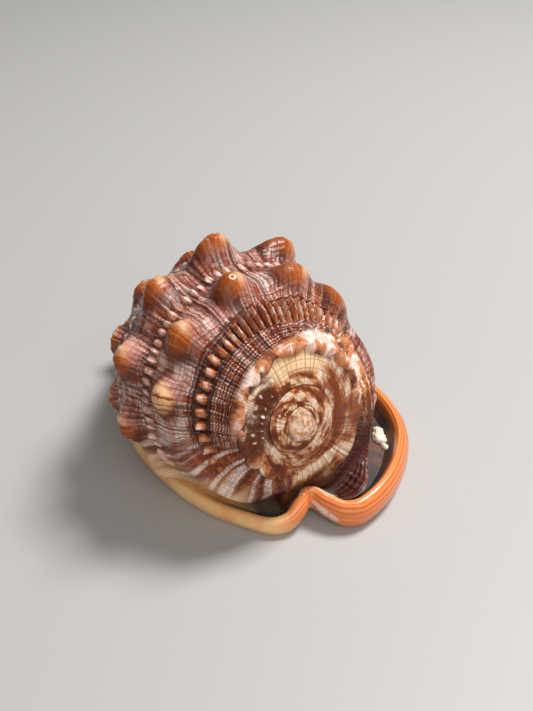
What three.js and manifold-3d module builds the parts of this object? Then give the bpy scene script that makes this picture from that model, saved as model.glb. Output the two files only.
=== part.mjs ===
// A bullmouth helmet shell lying on its flat mouth side, as one solid.
// Millimetres, +Z up. +Y runs from the spire to the canal end and the lip is on the +X side.
// The outer whorl, spire, mouth rim and canal are grown from one logarithmic spiral and joined,
// then the chamber and the long narrow mouth are cut out and the underside is faced flat.
import * as THREE from 'three';
import { mergeVertices } from 'three/addons/utils/BufferGeometryUtils.js';
import Module from 'manifold-3d';

// Coil: a point has a growth angle (clockwise from the top, seen from the spire), a radius from
// the coil axis and a depth from the tip of the spire along that axis.
const growthPerTurn = 1.9;
const axisTilt = 15;
const tip = [-9.53, -54.0, 45.0];
const firstAngle = -170;
const lipAngle = 167;
const turn = 360;

// Outer whorl. Each station across it has a place from 0 at the hidden inner edge to 1 at the
// canal end, a depth and radius at the top of the coil, how far it grows along the coil, and the
// depth and radius that it reaches beside the lip.
const whorlStations = [
  { at: 0.00, depth: 14.0, radius: 14.0, grows: 1.00, lipDepth: 17.0, lipRadius: 17.0 },
  { at: 0.05, depth: 9.6, radius: 20.3, grows: 1.00, lipDepth: 12.3, lipRadius: 25.3 },
  { at: 0.07, depth: 8.6, radius: 22.6, grows: 1.00, lipDepth: 11.0, lipRadius: 27.6 },
  { at: 0.085, depth: 6.5, radius: 23.2, grows: 1.00, lipDepth: 9.6, lipRadius: 28.8 },
  { at: 0.105, depth: 6.2, radius: 24.4, grows: 1.00, lipDepth: 9.1, lipRadius: 30.2 },
  { at: 0.13, depth: 8.5, radius: 26.0, grows: 1.00, lipDepth: 9.6, lipRadius: 31.8 },
  { at: 0.17, depth: 12.3, radius: 28.2, grows: 1.00, lipDepth: 10.5, lipRadius: 34.0 },
  { at: 0.27, depth: 20.0, radius: 34.2, grows: 1.00, lipDepth: 11.5, lipRadius: 39.0 },
  { at: 0.38, depth: 28.5, radius: 41.0, grows: 1.00, lipDepth: 13.0, lipRadius: 42.5 },
  { at: 0.48, depth: 40.5, radius: 43.5, grows: 1.00, lipDepth: 22.0, lipRadius: 49.0 },
  { at: 0.58, depth: 53.0, radius: 45.5, grows: 0.95, lipDepth: 36.0, lipRadius: 53.5 },
  { at: 0.67, depth: 64.0, radius: 43.0, grows: 0.90, lipDepth: 52.0, lipRadius: 53.0 },
  { at: 0.75, depth: 74.0, radius: 38.5, grows: 0.80, lipDepth: 67.0, lipRadius: 48.0 },
  { at: 0.82, depth: 86.0, radius: 30.5, grows: 0.65, lipDepth: 82.0, lipRadius: 39.0 },
  { at: 0.88, depth: 98.0, radius: 22.5, grows: 0.50, lipDepth: 96.0, lipRadius: 28.5 },
  { at: 0.94, depth: 108.0, radius: 15.0, grows: 0.35, lipDepth: 107.0, lipRadius: 18.0 },
  { at: 0.98, depth: 116.0, radius: 8.5, grows: 0.25, lipDepth: 116.0, lipRadius: 9.0 },
  { at: 1.00, depth: 119.0, radius: 0.0, grows: 0.20, lipDepth: 119.0, lipRadius: 0.0 },
];
const whorlRows = [
  0, 0.05, 0.072, 0.088, 0.108, 0.135, 0.18, 0.24, 0.29, 0.335, 0.38, 0.42, 0.466, 0.482, 0.498,
  0.54, 0.58, 0.62, 0.652, 0.668, 0.684, 0.72, 0.75, 0.785, 0.83, 0.88, 0.93, 0.97, 0.99,
];
const whorlColumns = 72;
const whorlRoot = 24;
const floorOfWhorl = 4.5;
const floorRounding = 2.5;
const reliefLean = 0.25;

// The first part of the whorl carries on the slope of the spire from its fold to its shoulder.
const slopedUntil = -80;
const slopedFrom = [0.08, 0.12];
const slopedTo = [0.4, 0.5];

// Edge of the ramp beside the lip, where it comes down to meet the rim.
const lipGrows = [70, 112];
const lipAcross = [0.1, 0.2];
const lipShoulder = [
  { at: 98, radius: 42.5, depth: 13.0 },
  { at: 106, radius: 42.3, depth: 14.0 },
  { at: 119, radius: 42.0, depth: 13.0 },
  { at: 133, radius: 43.0, depth: 10.0 },
  { at: 146, radius: 41.0, depth: 1.5 },
  { at: 160, radius: 36.5, depth: 1.0 },
  { at: 167, radius: 33.5, depth: 7.0 },
  { at: 190, radius: 33.0, depth: 12.0 },
];
const shoulderSpread = 0.085;

// Three rows of knobs: growth angle, height and half width in degrees of each knob.
const shoulderRow = 0.38;
const middleRow = 0.58;
const lowerRow = 0.75;
const knobSlope = 1.75;
const knobRows = [
  {
    at: shoulderRow,
    halfLength: 0.050,
    knobs: [[-94, 1.8, 7.5], [-64, 6, 8.5], [-36, 8, 9], [-3, 7.5, 8], [30, 6.5, 9], [58, 4.5, 11],
      [88, 2.5, 9]],
  },
  {
    at: middleRow,
    halfLength: 0.045,
    knobs: [[-116, 3.5, 8], [-86, 6, 8], [-56, 7, 8], [-24, 8, 8], [7, 10, 8.5], [41, 10, 9],
      [73, 5, 9], [105, 3, 9]],
  },
  {
    at: lowerRow,
    halfLength: 0.038,
    knobs: [[-112, 3, 8], [-82, 5.5, 8], [-51, 5.5, 8], [-22, 6.5, 8], [9, 6.5, 8], [43, 6, 8],
      [75, 4.5, 8], [107, 2.5, 8]],
  },
];

// Raised cords between the rows of knobs.
const cords = [0.482, 0.668];
const cordHeight = 0.9;
const cordHalfLength = 0.011;

// Scalloped fold beside the spire. Its edge reaches inwards in uneven lobes over the top of the
// coil, and is sunk where the edge of the spire stands above it.
const lobeSpacing = 24.5;
const lobeWander = 0.35;
const lobeRoundness = 0.7;
const wanderPeriod = 110;
const wanderWaves = [[1.0, 1], [1.71, 2], [2.63, 4]];
const wanderScale = 2.2;
const foldFrom = [-100, -62];
const foldUntil = [70, 110];
const foldStart = [0.03, 0.07];
const foldEdge = { at: 0.088, spread: 0.024, reach: 3.4, back: 1.5 };
const foldTop = { at: 0.112, spread: 0.03, height: 1.5 };
const foldSunk = { at: 0.092, spread: 0.028, depth: 2.6 };

// Teeth on the ramp: height, depth of the root, how far the base is sunk and half length across
// the whorl. They stand closer together from the side to the top of the coil, and grow from their
// least share of the height and die away again.
const tooth = { at: 0.255, height: 2.2, root: 2.4, sunk: 0.4, across: 0.042 };
const firstTooth = -102;
const lastTooth = 96;
const wideSpacing = 8.5;
const closeSpacing = 4.7;
const spacingCloses = [-62, -8];
const toothShare = 0.37;
const leastTooth = 0.5;
const teethGrow = [-115, -75];
const teethFade = [71, 111];

// Spire: radius and depth of its outer suture at growth angle 0, and how full its whorls are.
const sutureRadius = 24.2;
const sutureDepth = 8.2;
const whorlFullness = 1.6;
const fullnessTaper = 0.35;
const spireTurns = 3.5;
const spireStep = 12;
const spireRows = 4;
const spireRoot = 42;

// Rim of the mouth, clockwise seen from above, starting at the notch: distances from the tip of
// the spire to the rim, height of its lower edge and its crest, width of the roll, and height of
// the trough behind it.
const rimStations = [
  { x: 4.1, y: 0.2, edge: 4.5, crest: 14.0, roll: 3.6, trough: 11.0 },
  { x: 6.0, y: -5.2, edge: 3.0, crest: 13.0, roll: 4.5, trough: 10.0 },
  { x: 10.2, y: -11.4, edge: 1.0, crest: 12.0, roll: 5.0, trough: 8.5 },
  { x: 18.0, y: -14.6, edge: 0.4, crest: 12.0, roll: 5.5, trough: 7.0 },
  { x: 32.0, y: -11.5, edge: 0.3, crest: 12.5, roll: 5.5, trough: 6.0 },
  { x: 46.0, y: -3.2, edge: 0.3, crest: 13.0, roll: 5.5, trough: 6.0 },
  { x: 57.0, y: 8.5, edge: 0.3, crest: 13.5, roll: 5.5, trough: 6.5 },
  { x: 63.0, y: 24.0, edge: 0.3, crest: 13.5, roll: 5.5, trough: 6.5 },
  { x: 64.0, y: 43.0, edge: 0.3, crest: 13.5, roll: 5.5, trough: 7.0 },
  { x: 57.5, y: 63.0, edge: 0.3, crest: 13.5, roll: 6.0, trough: 8.0 },
  { x: 46.0, y: 82.0, edge: 0.3, crest: 13.5, roll: 6.5, trough: 9.0 },
  { x: 31.0, y: 97.0, edge: 0.4, crest: 13.0, roll: 6.5, trough: 10.0 },
  { x: 16.0, y: 107.0, edge: 1.5, crest: 13.0, roll: 6.0, trough: 11.0 },
  { x: 2.0, y: 110.0, edge: 3.0, crest: 13.0, roll: 6.0, trough: 12.0 },
  { x: -11.0, y: 105.0, edge: 1.5, crest: 11.0, roll: 5.0, trough: 11.0 },
  { x: -21.0, y: 94.0, edge: 0.5, crest: 9.0, roll: 4.0, trough: 10.0 },
  { x: -28.0, y: 79.0, edge: 0.4, crest: 7.5, roll: 3.5, trough: 8.5 },
  { x: -31.0, y: 61.0, edge: 0.4, crest: 7.0, roll: 3.5, trough: 8.0 },
  { x: -30.0, y: 41.0, edge: 0.4, crest: 7.0, roll: 3.5, trough: 7.0 },
  { x: -26.0, y: 23.5, edge: 0.4, crest: 7.0, roll: 3.5, trough: 5.5 },
  { x: -18.0, y: 8.0, edge: 0.4, crest: 7.0, roll: 4.0, trough: 4.5 },
  { x: -12.5, y: 0.8, edge: 0.4, crest: 7.5, roll: 4.0, trough: 4.5 },
  { x: -7.0, y: -2.2, edge: 0.8, crest: 9.0, roll: 4.0, trough: 6.0 },
  { x: -2.0, y: -2.6, edge: 2.0, crest: 12.0, roll: 4.5, trough: 9.0 },
  { x: 1.9, y: -1.3, edge: 3.6, crest: 13.5, roll: 4.0, trough: 11.0 },
];
const rimColumns = 60;

// Section of the rim from below the mouth outwards, over the crest and into the trough: inward
// distance as a share of the roll and as a length, and height as shares of the lower edge, crest
// and trough and as a length.
const rimSection = [
  { roll: 1.50, inward: 0.0, edge: 1.00, crest: 0.00, trough: 0.0, lift: -0.7 },
  { roll: 0.50, inward: 0.0, edge: 1.00, crest: 0.00, trough: 0.0, lift: -0.6 },
  { roll: 0.12, inward: 0.0, edge: 0.78, crest: 0.22, trough: 0.0, lift: 0.0 },
  { roll: 0.00, inward: 0.0, edge: 0.50, crest: 0.50, trough: 0.0, lift: 0.0 },
  { roll: 0.12, inward: 0.0, edge: 0.20, crest: 0.80, trough: 0.0, lift: 0.0 },
  { roll: 0.42, inward: 0.0, edge: 0.03, crest: 0.97, trough: 0.0, lift: 0.0 },
  { roll: 0.80, inward: 0.0, edge: 0.03, crest: 0.97, trough: 0.0, lift: 0.0 },
  { roll: 1.10, inward: 0.0, edge: 0.00, crest: 0.50, trough: 0.5, lift: 0.0 },
  { roll: 1.50, inward: 0.5, edge: 0.00, crest: 0.00, trough: 1.0, lift: 0.0 },
];

// Rows that close the rim towards the middle of the mouth: share of the way out, and height.
const belowMouth = [{ share: 0.35, height: 3.0 }, { share: 0.7, height: 1.8 }];
const troughFloor = { share: 0.6, height: 10.0 };

// Beside the notch the low part of the spire and the whorl stands back from the crest of the
// rim: how far, from which height down, and between which distances from the tip.
const standsBack = { depth: 3.4, full: 13, gone: 21, from: [-24, -10], until: [4, 14] };

// Canal: centre, half width and half height of its sections from the mouth end to the tip.
const canalSections = [
  { centre: [8, 92, 10], wide: 15, high: 8 },
  { centre: [4, 104, 12], wide: 12, high: 8.5 },
  { centre: [1, 112, 15], wide: 9.5, high: 7.5 },
  { centre: [0, 116.5, 19], wide: 7, high: 5.5 },
  { centre: [-0.5, 119.3, 23], wide: 4.5, high: 4 },
];
const canalSides = 16;

// Mouth: a narrow slit that follows a shallow curve, fluted by teeth on the lip side and by finer
// folds on the inner side, with a chamber that winds up from it inside the last whorl.
const mouthFrom = 10;
const mouthTo = 104;
const mouthMiddleX = 12.5;
const mouthBow = 2;
const mouthWidth = 9;
const mouthLeast = 1.2;
const mouthTaper = 0.35;
const slitBottom = -2;
const slitTop = 15;
const toothSpacing = 4.6;
const toothDepth = 1.3;
const foldSpacing = 5.0;
const foldDepth = 0.7;
const chamberAngles = [170, 158, 144, 128, 110, 90, 65, 40, 15, -10];
const chamberTop = 22;
const chamberSlope = 6;
const chamberFrom = 0.40;
const chamberTo = 0.88;
const chamberRows = 9;
const chamberWall = 5.5;
const chamberInnerShare = 0.16;
const chamberFloor = 9;

const tableSize = 300;
const tableDepth = 50;

const shellColour = 0xa9745c;

const wasm = await Module();
wasm.setup();

const radians = THREE.MathUtils.degToRad;
const smooth = THREE.MathUtils.smoothstep;

// Smooth curve through the stations, with slopes from their neighbours on both sides.
function through(stations, key, at) {
  const last = stations.length - 1;
  let i = 0;
  while (i < last - 1 && at >= stations[i + 1].at) {
    i += 1;
  }
  const slope = (k) => {
    const a = stations[Math.max(k - 1, 0)];
    const b = stations[k];
    const c = stations[Math.min(k + 1, last)];
    const before = k > 0 ? (b[key] - a[key]) / (b.at - a.at) : (c[key] - b[key]) / (c.at - b.at);
    const after = k < last ? (c[key] - b[key]) / (c.at - b.at) : before;
    return (before + after) / 2;
  };
  const from = stations[i];
  const to = stations[i + 1];
  const width = to.at - from.at;
  const u = (at - from.at) / width;
  const v = 1 - u;
  return from[key] * v * v * (1 + 2 * u) + to[key] * u * u * (3 - 2 * u)
    + width * u * v * (slope(i) * v - slope(i + 1) * u);
}

const growth = (angle) => growthPerTurn ** (angle / turn);

// Depth of the spire's slope at a radius, where the coil has grown to a size.
function spireDepth(radius, size) {
  const across = Math.log(radius / (sutureRadius * size)) / Math.log(growthPerTurn);
  const within = THREE.MathUtils.clamp(across, 0, 1);
  const bulge = Math.sin(Math.PI * within) * (1 - fullnessTaper * within);
  return (sutureDepth * radius) / sutureRadius - whorlFullness * size * bulge;
}

// Rounded bump of height 1 round a middle.
const hump = (value, middle, halfWidth) => Math.exp(-(((value - middle) / halfWidth) ** 2));

function coilPoint(angle, radius, depth) {
  const lean = radians(axisTilt);
  const swing = radians(angle);
  const up = radius * Math.cos(swing);
  return [
    tip[0] + radius * Math.sin(swing),
    tip[1] + up * Math.sin(lean) + depth * Math.cos(lean),
    tip[2] + up * Math.cos(lean) - depth * Math.sin(lean),
  ];
}

// Rounds a height off smoothly so that nothing goes below the floor.
function keepAbove(floor, z) {
  return floor + floorRounding * Math.log(1 + Math.exp((z - floor) / floorRounding));
}

// Moves a low point beside the notch back, so that the crest of the rim stands in front of it.
function standBack([x, y, z]) {
  const low = 1 - smooth(z, standsBack.full, standsBack.gone);
  const side = x - tip[0];
  const near = smooth(side, ...standsBack.from) * (1 - smooth(side, ...standsBack.until));
  return [x, y + standsBack.depth * low * near, z];
}

function reliefHeight(angle, at) {
  let height = 0;
  for (const row of knobRows) {
    for (const [middle, tall, halfWidth] of row.knobs) {
      const along = Math.abs(angle - middle) / halfWidth;
      const across = Math.abs(at - row.at) / row.halfLength;
      const knob = Math.exp(-(along ** knobSlope) - across ** knobSlope);
      height += tall * Math.sin((Math.PI / 2) * knob);
    }
  }
  for (const cord of cords) {
    height += cordHeight * hump(at, cord, cordHalfLength);
  }
  return height;
}

// Slow uneven wave between -1 and 1 along the coil.
function wander(angle) {
  const swing = (2 * Math.PI * angle) / wanderPeriod;
  const sum = wanderWaves.reduce((total, [pace, start]) => total + Math.sin(pace * swing + start), 0);
  return sum / wanderScale;
}

// Uneven lobes along the suture, from 0 between them to 1.
function lobes(angle) {
  const place = angle / lobeSpacing + lobeWander * wander(angle);
  return Math.abs(Math.sin(Math.PI * place)) ** lobeRoundness;
}

// Scalloped fold beside the spire: how far its edge reaches inwards, and its height.
function foldRelief(angle, at) {
  const folded = smooth(angle, ...foldFrom) * (1 - smooth(angle, ...foldUntil));
  const lobe = lobes(angle);
  const edge = hump(at, foldEdge.at, foldEdge.spread) * smooth(at, ...foldStart);
  const top = foldTop.height * lobe * hump(at, foldTop.at, foldTop.spread);
  const sunk = foldSunk.depth * hump(at, foldSunk.at, foldSunk.spread);
  return {
    inwards: (foldEdge.reach * lobe - foldEdge.back) * edge * folded,
    height: THREE.MathUtils.lerp(-sunk, top, folded),
  };
}

// Radius and depth of the outer whorl's smooth surface, before its relief.
function whorlSection(angle, at) {
  const closing = smooth(angle, lipAngle, firstAngle + turn);
  const grown = growth(Math.min(angle, lipAngle));
  const size = THREE.MathUtils.lerp(grown, growth(firstAngle), closing);
  const scale = size ** through(whorlStations, 'grows', at);
  let depth = through(whorlStations, 'depth', at) * scale;
  let radius = through(whorlStations, 'radius', at) * scale;
  const early = angle < 0 ? 1 - smooth(angle, firstAngle, slopedUntil) : closing;
  const sloped = early * smooth(at, ...slopedFrom) * (1 - smooth(at, ...slopedTo));
  depth += (spireDepth(radius, size) - depth) * sloped;
  const besideLip = smooth(angle, ...lipGrows) * (1 - closing) * smooth(at, ...lipAcross);
  depth += (through(whorlStations, 'lipDepth', at) - depth) * besideLip;
  radius += (through(whorlStations, 'lipRadius', at) - radius) * besideLip;
  if (angle > lipShoulder[0].at) {
    const near = hump(at, shoulderRow, shoulderSpread) * (1 - closing);
    radius += (through(lipShoulder, 'radius', angle) - lipShoulder[0].radius) * near;
    depth += (through(lipShoulder, 'depth', angle) - lipShoulder[0].depth) * near;
  }
  return { radius, depth };
}

// A point of the outer whorl; lift raises it from the surface.
function whorlPoint(angle, at, lift = 0) {
  const { radius, depth } = whorlSection(angle, at);
  const fold = foldRelief(angle, at);
  const raised = reliefHeight(angle, at) + fold.height + lift;
  const point = coilPoint(angle, radius + raised - fold.inwards, depth - raised * reliefLean);
  point[2] = keepAbove(floorOfWhorl, point[2]);
  return standBack(point);
}

// Closed solid from a stack of rings with equally many points, closed by a fan at each end.
function stackSolid(rings, startHub, endHub) {
  const sides = rings[0].length;
  const points = [...rings.flat(), startHub, endHub];
  const start = points.length - 2;
  const triangles = [];
  for (let i = 0; i < sides; i += 1) {
    const next = (i + 1) % sides;
    triangles.push([start, next, i]);
    for (let k = 0; k < rings.length - 1; k += 1) {
      const low = k * sides;
      const high = low + sides;
      triangles.push([low + i, low + next, high + next], [low + i, high + next, high + i]);
    }
    const top = (rings.length - 1) * sides;
    triangles.push([top + i, top + next, start + 1]);
  }
  return solidFrom(points, triangles);
}

function toManifold(geometry) {
  const bare = geometry.clone();
  bare.deleteAttribute('normal');
  bare.deleteAttribute('uv');
  const merged = mergeVertices(bare, 1e-4);
  const mesh = new wasm.Mesh({
    numProp: 3,
    vertProperties: new Float32Array(merged.attributes.position.array),
    triVerts: new Uint32Array(merged.index.array),
  });
  return new wasm.Manifold(mesh);
}

// Solid from points and triangles, turned the right way out if it is inside out.
function solidFrom(points, triangles) {
  const corner = (i) => new THREE.Vector3(...points[i]);
  let volume = 0;
  for (const [a, b, c] of triangles) {
    volume += corner(a).dot(corner(b).cross(corner(c)));
  }
  const ordered = volume > 0 ? triangles : triangles.map(([a, b, c]) => [a, c, b]);
  const geometry = new THREE.BufferGeometry();
  geometry.setAttribute('position', new THREE.Float32BufferAttribute(points.flat(), 3));
  geometry.setIndex(ordered.flat());
  return toManifold(geometry);
}

function makeWhorl() {
  const step = turn / whorlColumns;
  const rings = whorlRows.map((at) => Array.from(
    { length: whorlColumns },
    (_, i) => whorlPoint(firstAngle + i * step, at),
  ));
  const innerHub = coilPoint(0, 0, whorlRoot);
  const canalHub = whorlPoint(0, 1);
  return stackSolid(rings, innerHub, canalHub);
}

// Degrees from a tooth to the next one.
function spacingAfter(angle) {
  return THREE.MathUtils.lerp(wideSpacing, closeSpacing, smooth(angle, ...spacingCloses));
}

// A tooth of the ramp, as a low four-sided pyramid that is rooted in the whorl.
function makeTooth(angle) {
  const grown = smooth(angle, ...teethGrow) * (1 - smooth(angle, ...teethFade));
  const along = toothShare * spacingAfter(angle);
  const points = [
    whorlPoint(angle - along, tooth.at, -tooth.sunk),
    whorlPoint(angle, tooth.at - tooth.across, -tooth.sunk),
    whorlPoint(angle + along, tooth.at, -tooth.sunk),
    whorlPoint(angle, tooth.at + tooth.across, -tooth.sunk),
    whorlPoint(angle, tooth.at, tooth.height * THREE.MathUtils.lerp(leastTooth, 1, grown)),
    whorlPoint(angle, tooth.at, -tooth.root),
  ];
  const [peak, root] = [4, 5];
  const triangles = [];
  for (let side = 0; side < 4; side += 1) {
    const next = (side + 1) % 4;
    triangles.push([side, next, peak], [next, side, root]);
  }
  return solidFrom(points, triangles);
}

function spirePoint(angle, across) {
  const size = growth(angle);
  const radius = sutureRadius * size * growthPerTurn ** across;
  return standBack(coilPoint(angle, radius, spireDepth(radius, size)));
}

// The spire is a spiral strip whose outer edge is the inner edge one turn later. Its two open
// ends are closed by fans: one at the tip, the other hidden inside the outer whorl.
function makeSpire() {
  const columns = Math.round(spireTurns * (turn / spireStep));
  const perTurn = turn / spireStep;
  const points = [];
  const number = (i, k) => {
    if (k === spireRows && i + perTurn <= columns) {
      return number(i + perTurn, 0);
    }
    return i * (spireRows + 1) + k;
  };
  for (let i = 0; i <= columns; i += 1) {
    const angle = firstAngle - (columns - i) * spireStep;
    for (let k = 0; k <= spireRows; k += 1) {
      points.push(spirePoint(angle, k / spireRows));
    }
  }
  points.push(coilPoint(0, 0, 0), coilPoint(0, 0, spireRoot));
  const tipHub = points.length - 2;
  const innerHub = points.length - 1;
  const triangles = [];
  for (let i = 0; i < columns; i += 1) {
    for (let k = 0; k < spireRows; k += 1) {
      const corners = [number(i, k), number(i + 1, k), number(i + 1, k + 1), number(i, k + 1)];
      triangles.push([corners[0], corners[1], corners[2]], [corners[0], corners[2], corners[3]]);
    }
    if (i < perTurn) {
      triangles.push([number(i + 1, 0), number(i, 0), tipHub]);
    }
    if (i + perTurn >= columns) {
      triangles.push([number(i, spireRows), number(i + 1, spireRows), innerHub]);
    }
  }
  for (let k = 0; k < spireRows; k += 1) {
    triangles.push([number(0, k), number(0, k + 1), tipHub]);
    triangles.push([number(columns, k + 1), number(columns, k), innerHub]);
  }
  return solidFrom(points, triangles);
}

// Rim and underside: one ring round the mouth for each row, from the middle of the underside out
// to the lower edge, up over the rolled crest and back into the trough beside the whorl.
function makeRim() {
  const closed = [-2, -1, ...rimStations.keys(), rimStations.length, rimStations.length + 1]
    .map((i) => ({ at: i, ...rimStations.at(i % rimStations.length) }));
  const stations = Array.from({ length: rimColumns }, (_, i) => {
    const at = (i * rimStations.length) / rimColumns;
    const value = (key) => through(closed, key, at);
    return {
      x: value('x'),
      y: value('y'),
      edge: value('edge'),
      crest: value('crest'),
      roll: value('roll'),
      trough: value('trough'),
    };
  });
  const middle = [tip[0] + mouthMiddleX, tip[1] + (mouthFrom + mouthTo) / 2];
  const innerRow = ({ share, height }) => stations.map((station) => [
    THREE.MathUtils.lerp(middle[0], tip[0] + station.x, share),
    THREE.MathUtils.lerp(middle[1], tip[1] + station.y, share),
    height,
  ]);
  const sectionRow = (row) => stations.map((station, i) => {
    const before = stations.at(i - 1);
    const after = stations[(i + 1) % rimColumns];
    const along = new THREE.Vector2(after.x - before.x, after.y - before.y).normalize();
    const distance = station.roll * row.roll + row.inward;
    const height = station.edge * row.edge + station.crest * row.crest
      + station.trough * row.trough + row.lift;
    return [
      tip[0] + station.x - along.y * distance,
      tip[1] + station.y + along.x * distance,
      height,
    ];
  });
  const rings = [...belowMouth.map(innerRow), ...rimSection.map(sectionRow), innerRow(troughFloor)];
  return stackSolid(
    rings,
    [...middle, belowMouth[0].height],
    [...middle, troughFloor.height],
  );
}

function makeCanal() {
  const last = canalSections.length - 1;
  const rings = canalSections.map((section, i) => {
    const before = new THREE.Vector3(...canalSections[Math.max(i - 1, 0)].centre);
    const after = new THREE.Vector3(...canalSections[Math.min(i + 1, last)].centre);
    const along = after.sub(before).normalize();
    const side = new THREE.Vector3(1, 0, 0).addScaledVector(along, -along.x).normalize();
    const up = side.clone().cross(along);
    return Array.from({ length: canalSides }, (_, k) => {
      const swing = (2 * Math.PI * k) / canalSides;
      return new THREE.Vector3(...section.centre)
        .addScaledVector(side, section.wide * Math.cos(swing))
        .addScaledVector(up, section.high * Math.sin(swing))
        .add(new THREE.Vector3(tip[0], tip[1], 0))
        .toArray();
    });
  });
  const hub = ({ centre: [x, y, z] }) => [tip[0] + x, tip[1] + y, z];
  return stackSolid(rings, hub(canalSections[0]), hub(canalSections[last]));
}

// The chamber inside the last whorl, as sections that follow the whorl at the thickness of its
// wall and wind up away from the mouth.
function makeChamber() {
  const rings = chamberAngles.map((angle) => {
    const outer = [];
    const inner = [];
    for (let k = 0; k < chamberRows; k += 1) {
      const at = THREE.MathUtils.lerp(chamberFrom, chamberTo, k / (chamberRows - 1));
      const { radius, depth } = whorlSection(angle, at);
      const kept = Math.max(depth, chamberTop + chamberSlope * (at - chamberFrom));
      outer.push(coilPoint(angle, radius - chamberWall, kept));
      inner.unshift(coilPoint(angle, (radius - chamberWall) * chamberInnerShare, kept));
    }
    const ring = [...outer, ...inner];
    return ring.map(([x, y, z]) => [x, y, keepAbove(chamberFloor, z)]);
  });
  const hub = (ring) => {
    const sum = ring.reduce((total, p) => total.add(new THREE.Vector3(...p)), new THREE.Vector3());
    return sum.divideScalar(ring.length).toArray();
  };
  return stackSolid(rings, hub(rings[0]), hub(rings.at(-1)));
}

function mouthX(y) {
  const share = (y - mouthFrom) / (mouthTo - mouthFrom);
  return mouthMiddleX + mouthBow * Math.sin(Math.PI * (share - 0.5));
}

function makeMouth() {
  const outline = new THREE.Shape();
  const edge = (y, side, depth, spacing) => {
    const share = (y - mouthFrom) / (mouthTo - mouthFrom);
    const taper = Math.sin(Math.PI * share) ** mouthTaper;
    const flute = depth * Math.cos((2 * Math.PI * (y - mouthFrom)) / spacing);
    const half = Math.max((mouthWidth / 2 + flute) * taper, mouthLeast / 2);
    return tip[0] + mouthX(y) + side * half;
  };
  outline.moveTo(edge(mouthFrom, 1, 0, toothSpacing), tip[1] + mouthFrom);
  for (let y = mouthFrom + toothSpacing / 2; y < mouthTo; y += toothSpacing / 2) {
    outline.lineTo(edge(y, 1, toothDepth, toothSpacing), tip[1] + y);
  }
  for (let y = mouthTo; y >= mouthFrom; y -= foldSpacing / 2) {
    outline.lineTo(edge(y, -1, foldDepth, foldSpacing), tip[1] + y);
  }
  const depth = slitTop - slitBottom;
  const slit = new THREE.ExtrudeGeometry(outline, { depth, bevelEnabled: false });
  slit.translate(0, 0, slitBottom);
  return toManifold(slit);
}

function makeBelowTable() {
  const below = new THREE.BoxGeometry(tableSize, tableSize, tableDepth);
  below.translate(0, 0, -tableDepth / 2);
  return toManifold(below);
}

let solid = makeWhorl().add(makeSpire()).add(makeRim()).add(makeCanal());
for (let angle = firstTooth; angle <= lastTooth; angle += spacingAfter(angle)) {
  solid = solid.add(makeTooth(angle));
}
solid = solid.subtract(makeChamber()).subtract(makeMouth()).subtract(makeBelowTable());

const result = solid.getMesh();
const shellGeometry = new THREE.BufferGeometry();
shellGeometry.setAttribute('position', new THREE.Float32BufferAttribute(result.vertProperties, 3));
shellGeometry.setIndex(Array.from(result.triVerts));
shellGeometry.computeVertexNormals();

const shell = new THREE.Mesh(
  shellGeometry,
  new THREE.MeshStandardMaterial({ color: shellColour, roughness: 0.3, metalness: 0 }),
);
shell.name = 'shell';

const part = new THREE.Group();
part.add(shell);

export default part;
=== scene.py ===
"""A helmet shell lying on its mouth side. Its outer whorl, spire, rim and canal are shaped from
grids on one growing spiral, joined into one piece, hollowed and painted, and set on a pale floor.
Tables are in millimetres, as the part's own are, and everything that is placed is in metres.
A span of four values says where something starts, is whole, begins to fade and has gone."""
import math

import bpy
import numpy as np
from bpy.props import FloatProperty, FloatVectorProperty, PointerProperty
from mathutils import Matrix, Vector


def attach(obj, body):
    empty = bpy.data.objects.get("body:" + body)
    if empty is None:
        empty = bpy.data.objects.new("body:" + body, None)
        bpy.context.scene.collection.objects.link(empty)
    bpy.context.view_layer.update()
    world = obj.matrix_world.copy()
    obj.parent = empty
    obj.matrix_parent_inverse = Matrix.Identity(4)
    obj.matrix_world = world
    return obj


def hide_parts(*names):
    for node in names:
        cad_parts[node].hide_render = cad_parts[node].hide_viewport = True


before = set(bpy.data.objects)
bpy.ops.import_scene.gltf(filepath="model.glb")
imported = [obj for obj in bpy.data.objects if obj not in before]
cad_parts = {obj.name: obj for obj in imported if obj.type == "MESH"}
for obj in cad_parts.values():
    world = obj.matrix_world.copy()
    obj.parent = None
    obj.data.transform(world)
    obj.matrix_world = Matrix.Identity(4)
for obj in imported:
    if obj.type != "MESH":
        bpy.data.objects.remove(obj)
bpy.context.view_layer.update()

bl_info = {
    "name": "Helmet Shell",
    "version": (1, 0, 0),
    "blender": (4, 5, 0),
    "location": "3D View > Sidebar > Shell",
    "description": "Builds a helmet shell with its spire, knobs and rolled lip, and its stage",
    "category": "Object",
}

PIECE = "helmet_shell"
MILLIMETRE = 0.001
TURN = 360.0
MAPS = ("spiral", "relief", "shade", "tone")
SHARP_ANGLE = 42.0
# Side of the block that cuts off all that is below the floor.
BELOW_SIZE = 0.3

# Coil: a point has a growth angle (clockwise from the top, seen from the spire), a radius from
# the coil axis and a depth from the tip of the spire along that axis.
TIP = (-9.53, -54.0, 45.0)
FIRST_ANGLE = -170.0
LIP_ANGLE = 167.0

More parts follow.
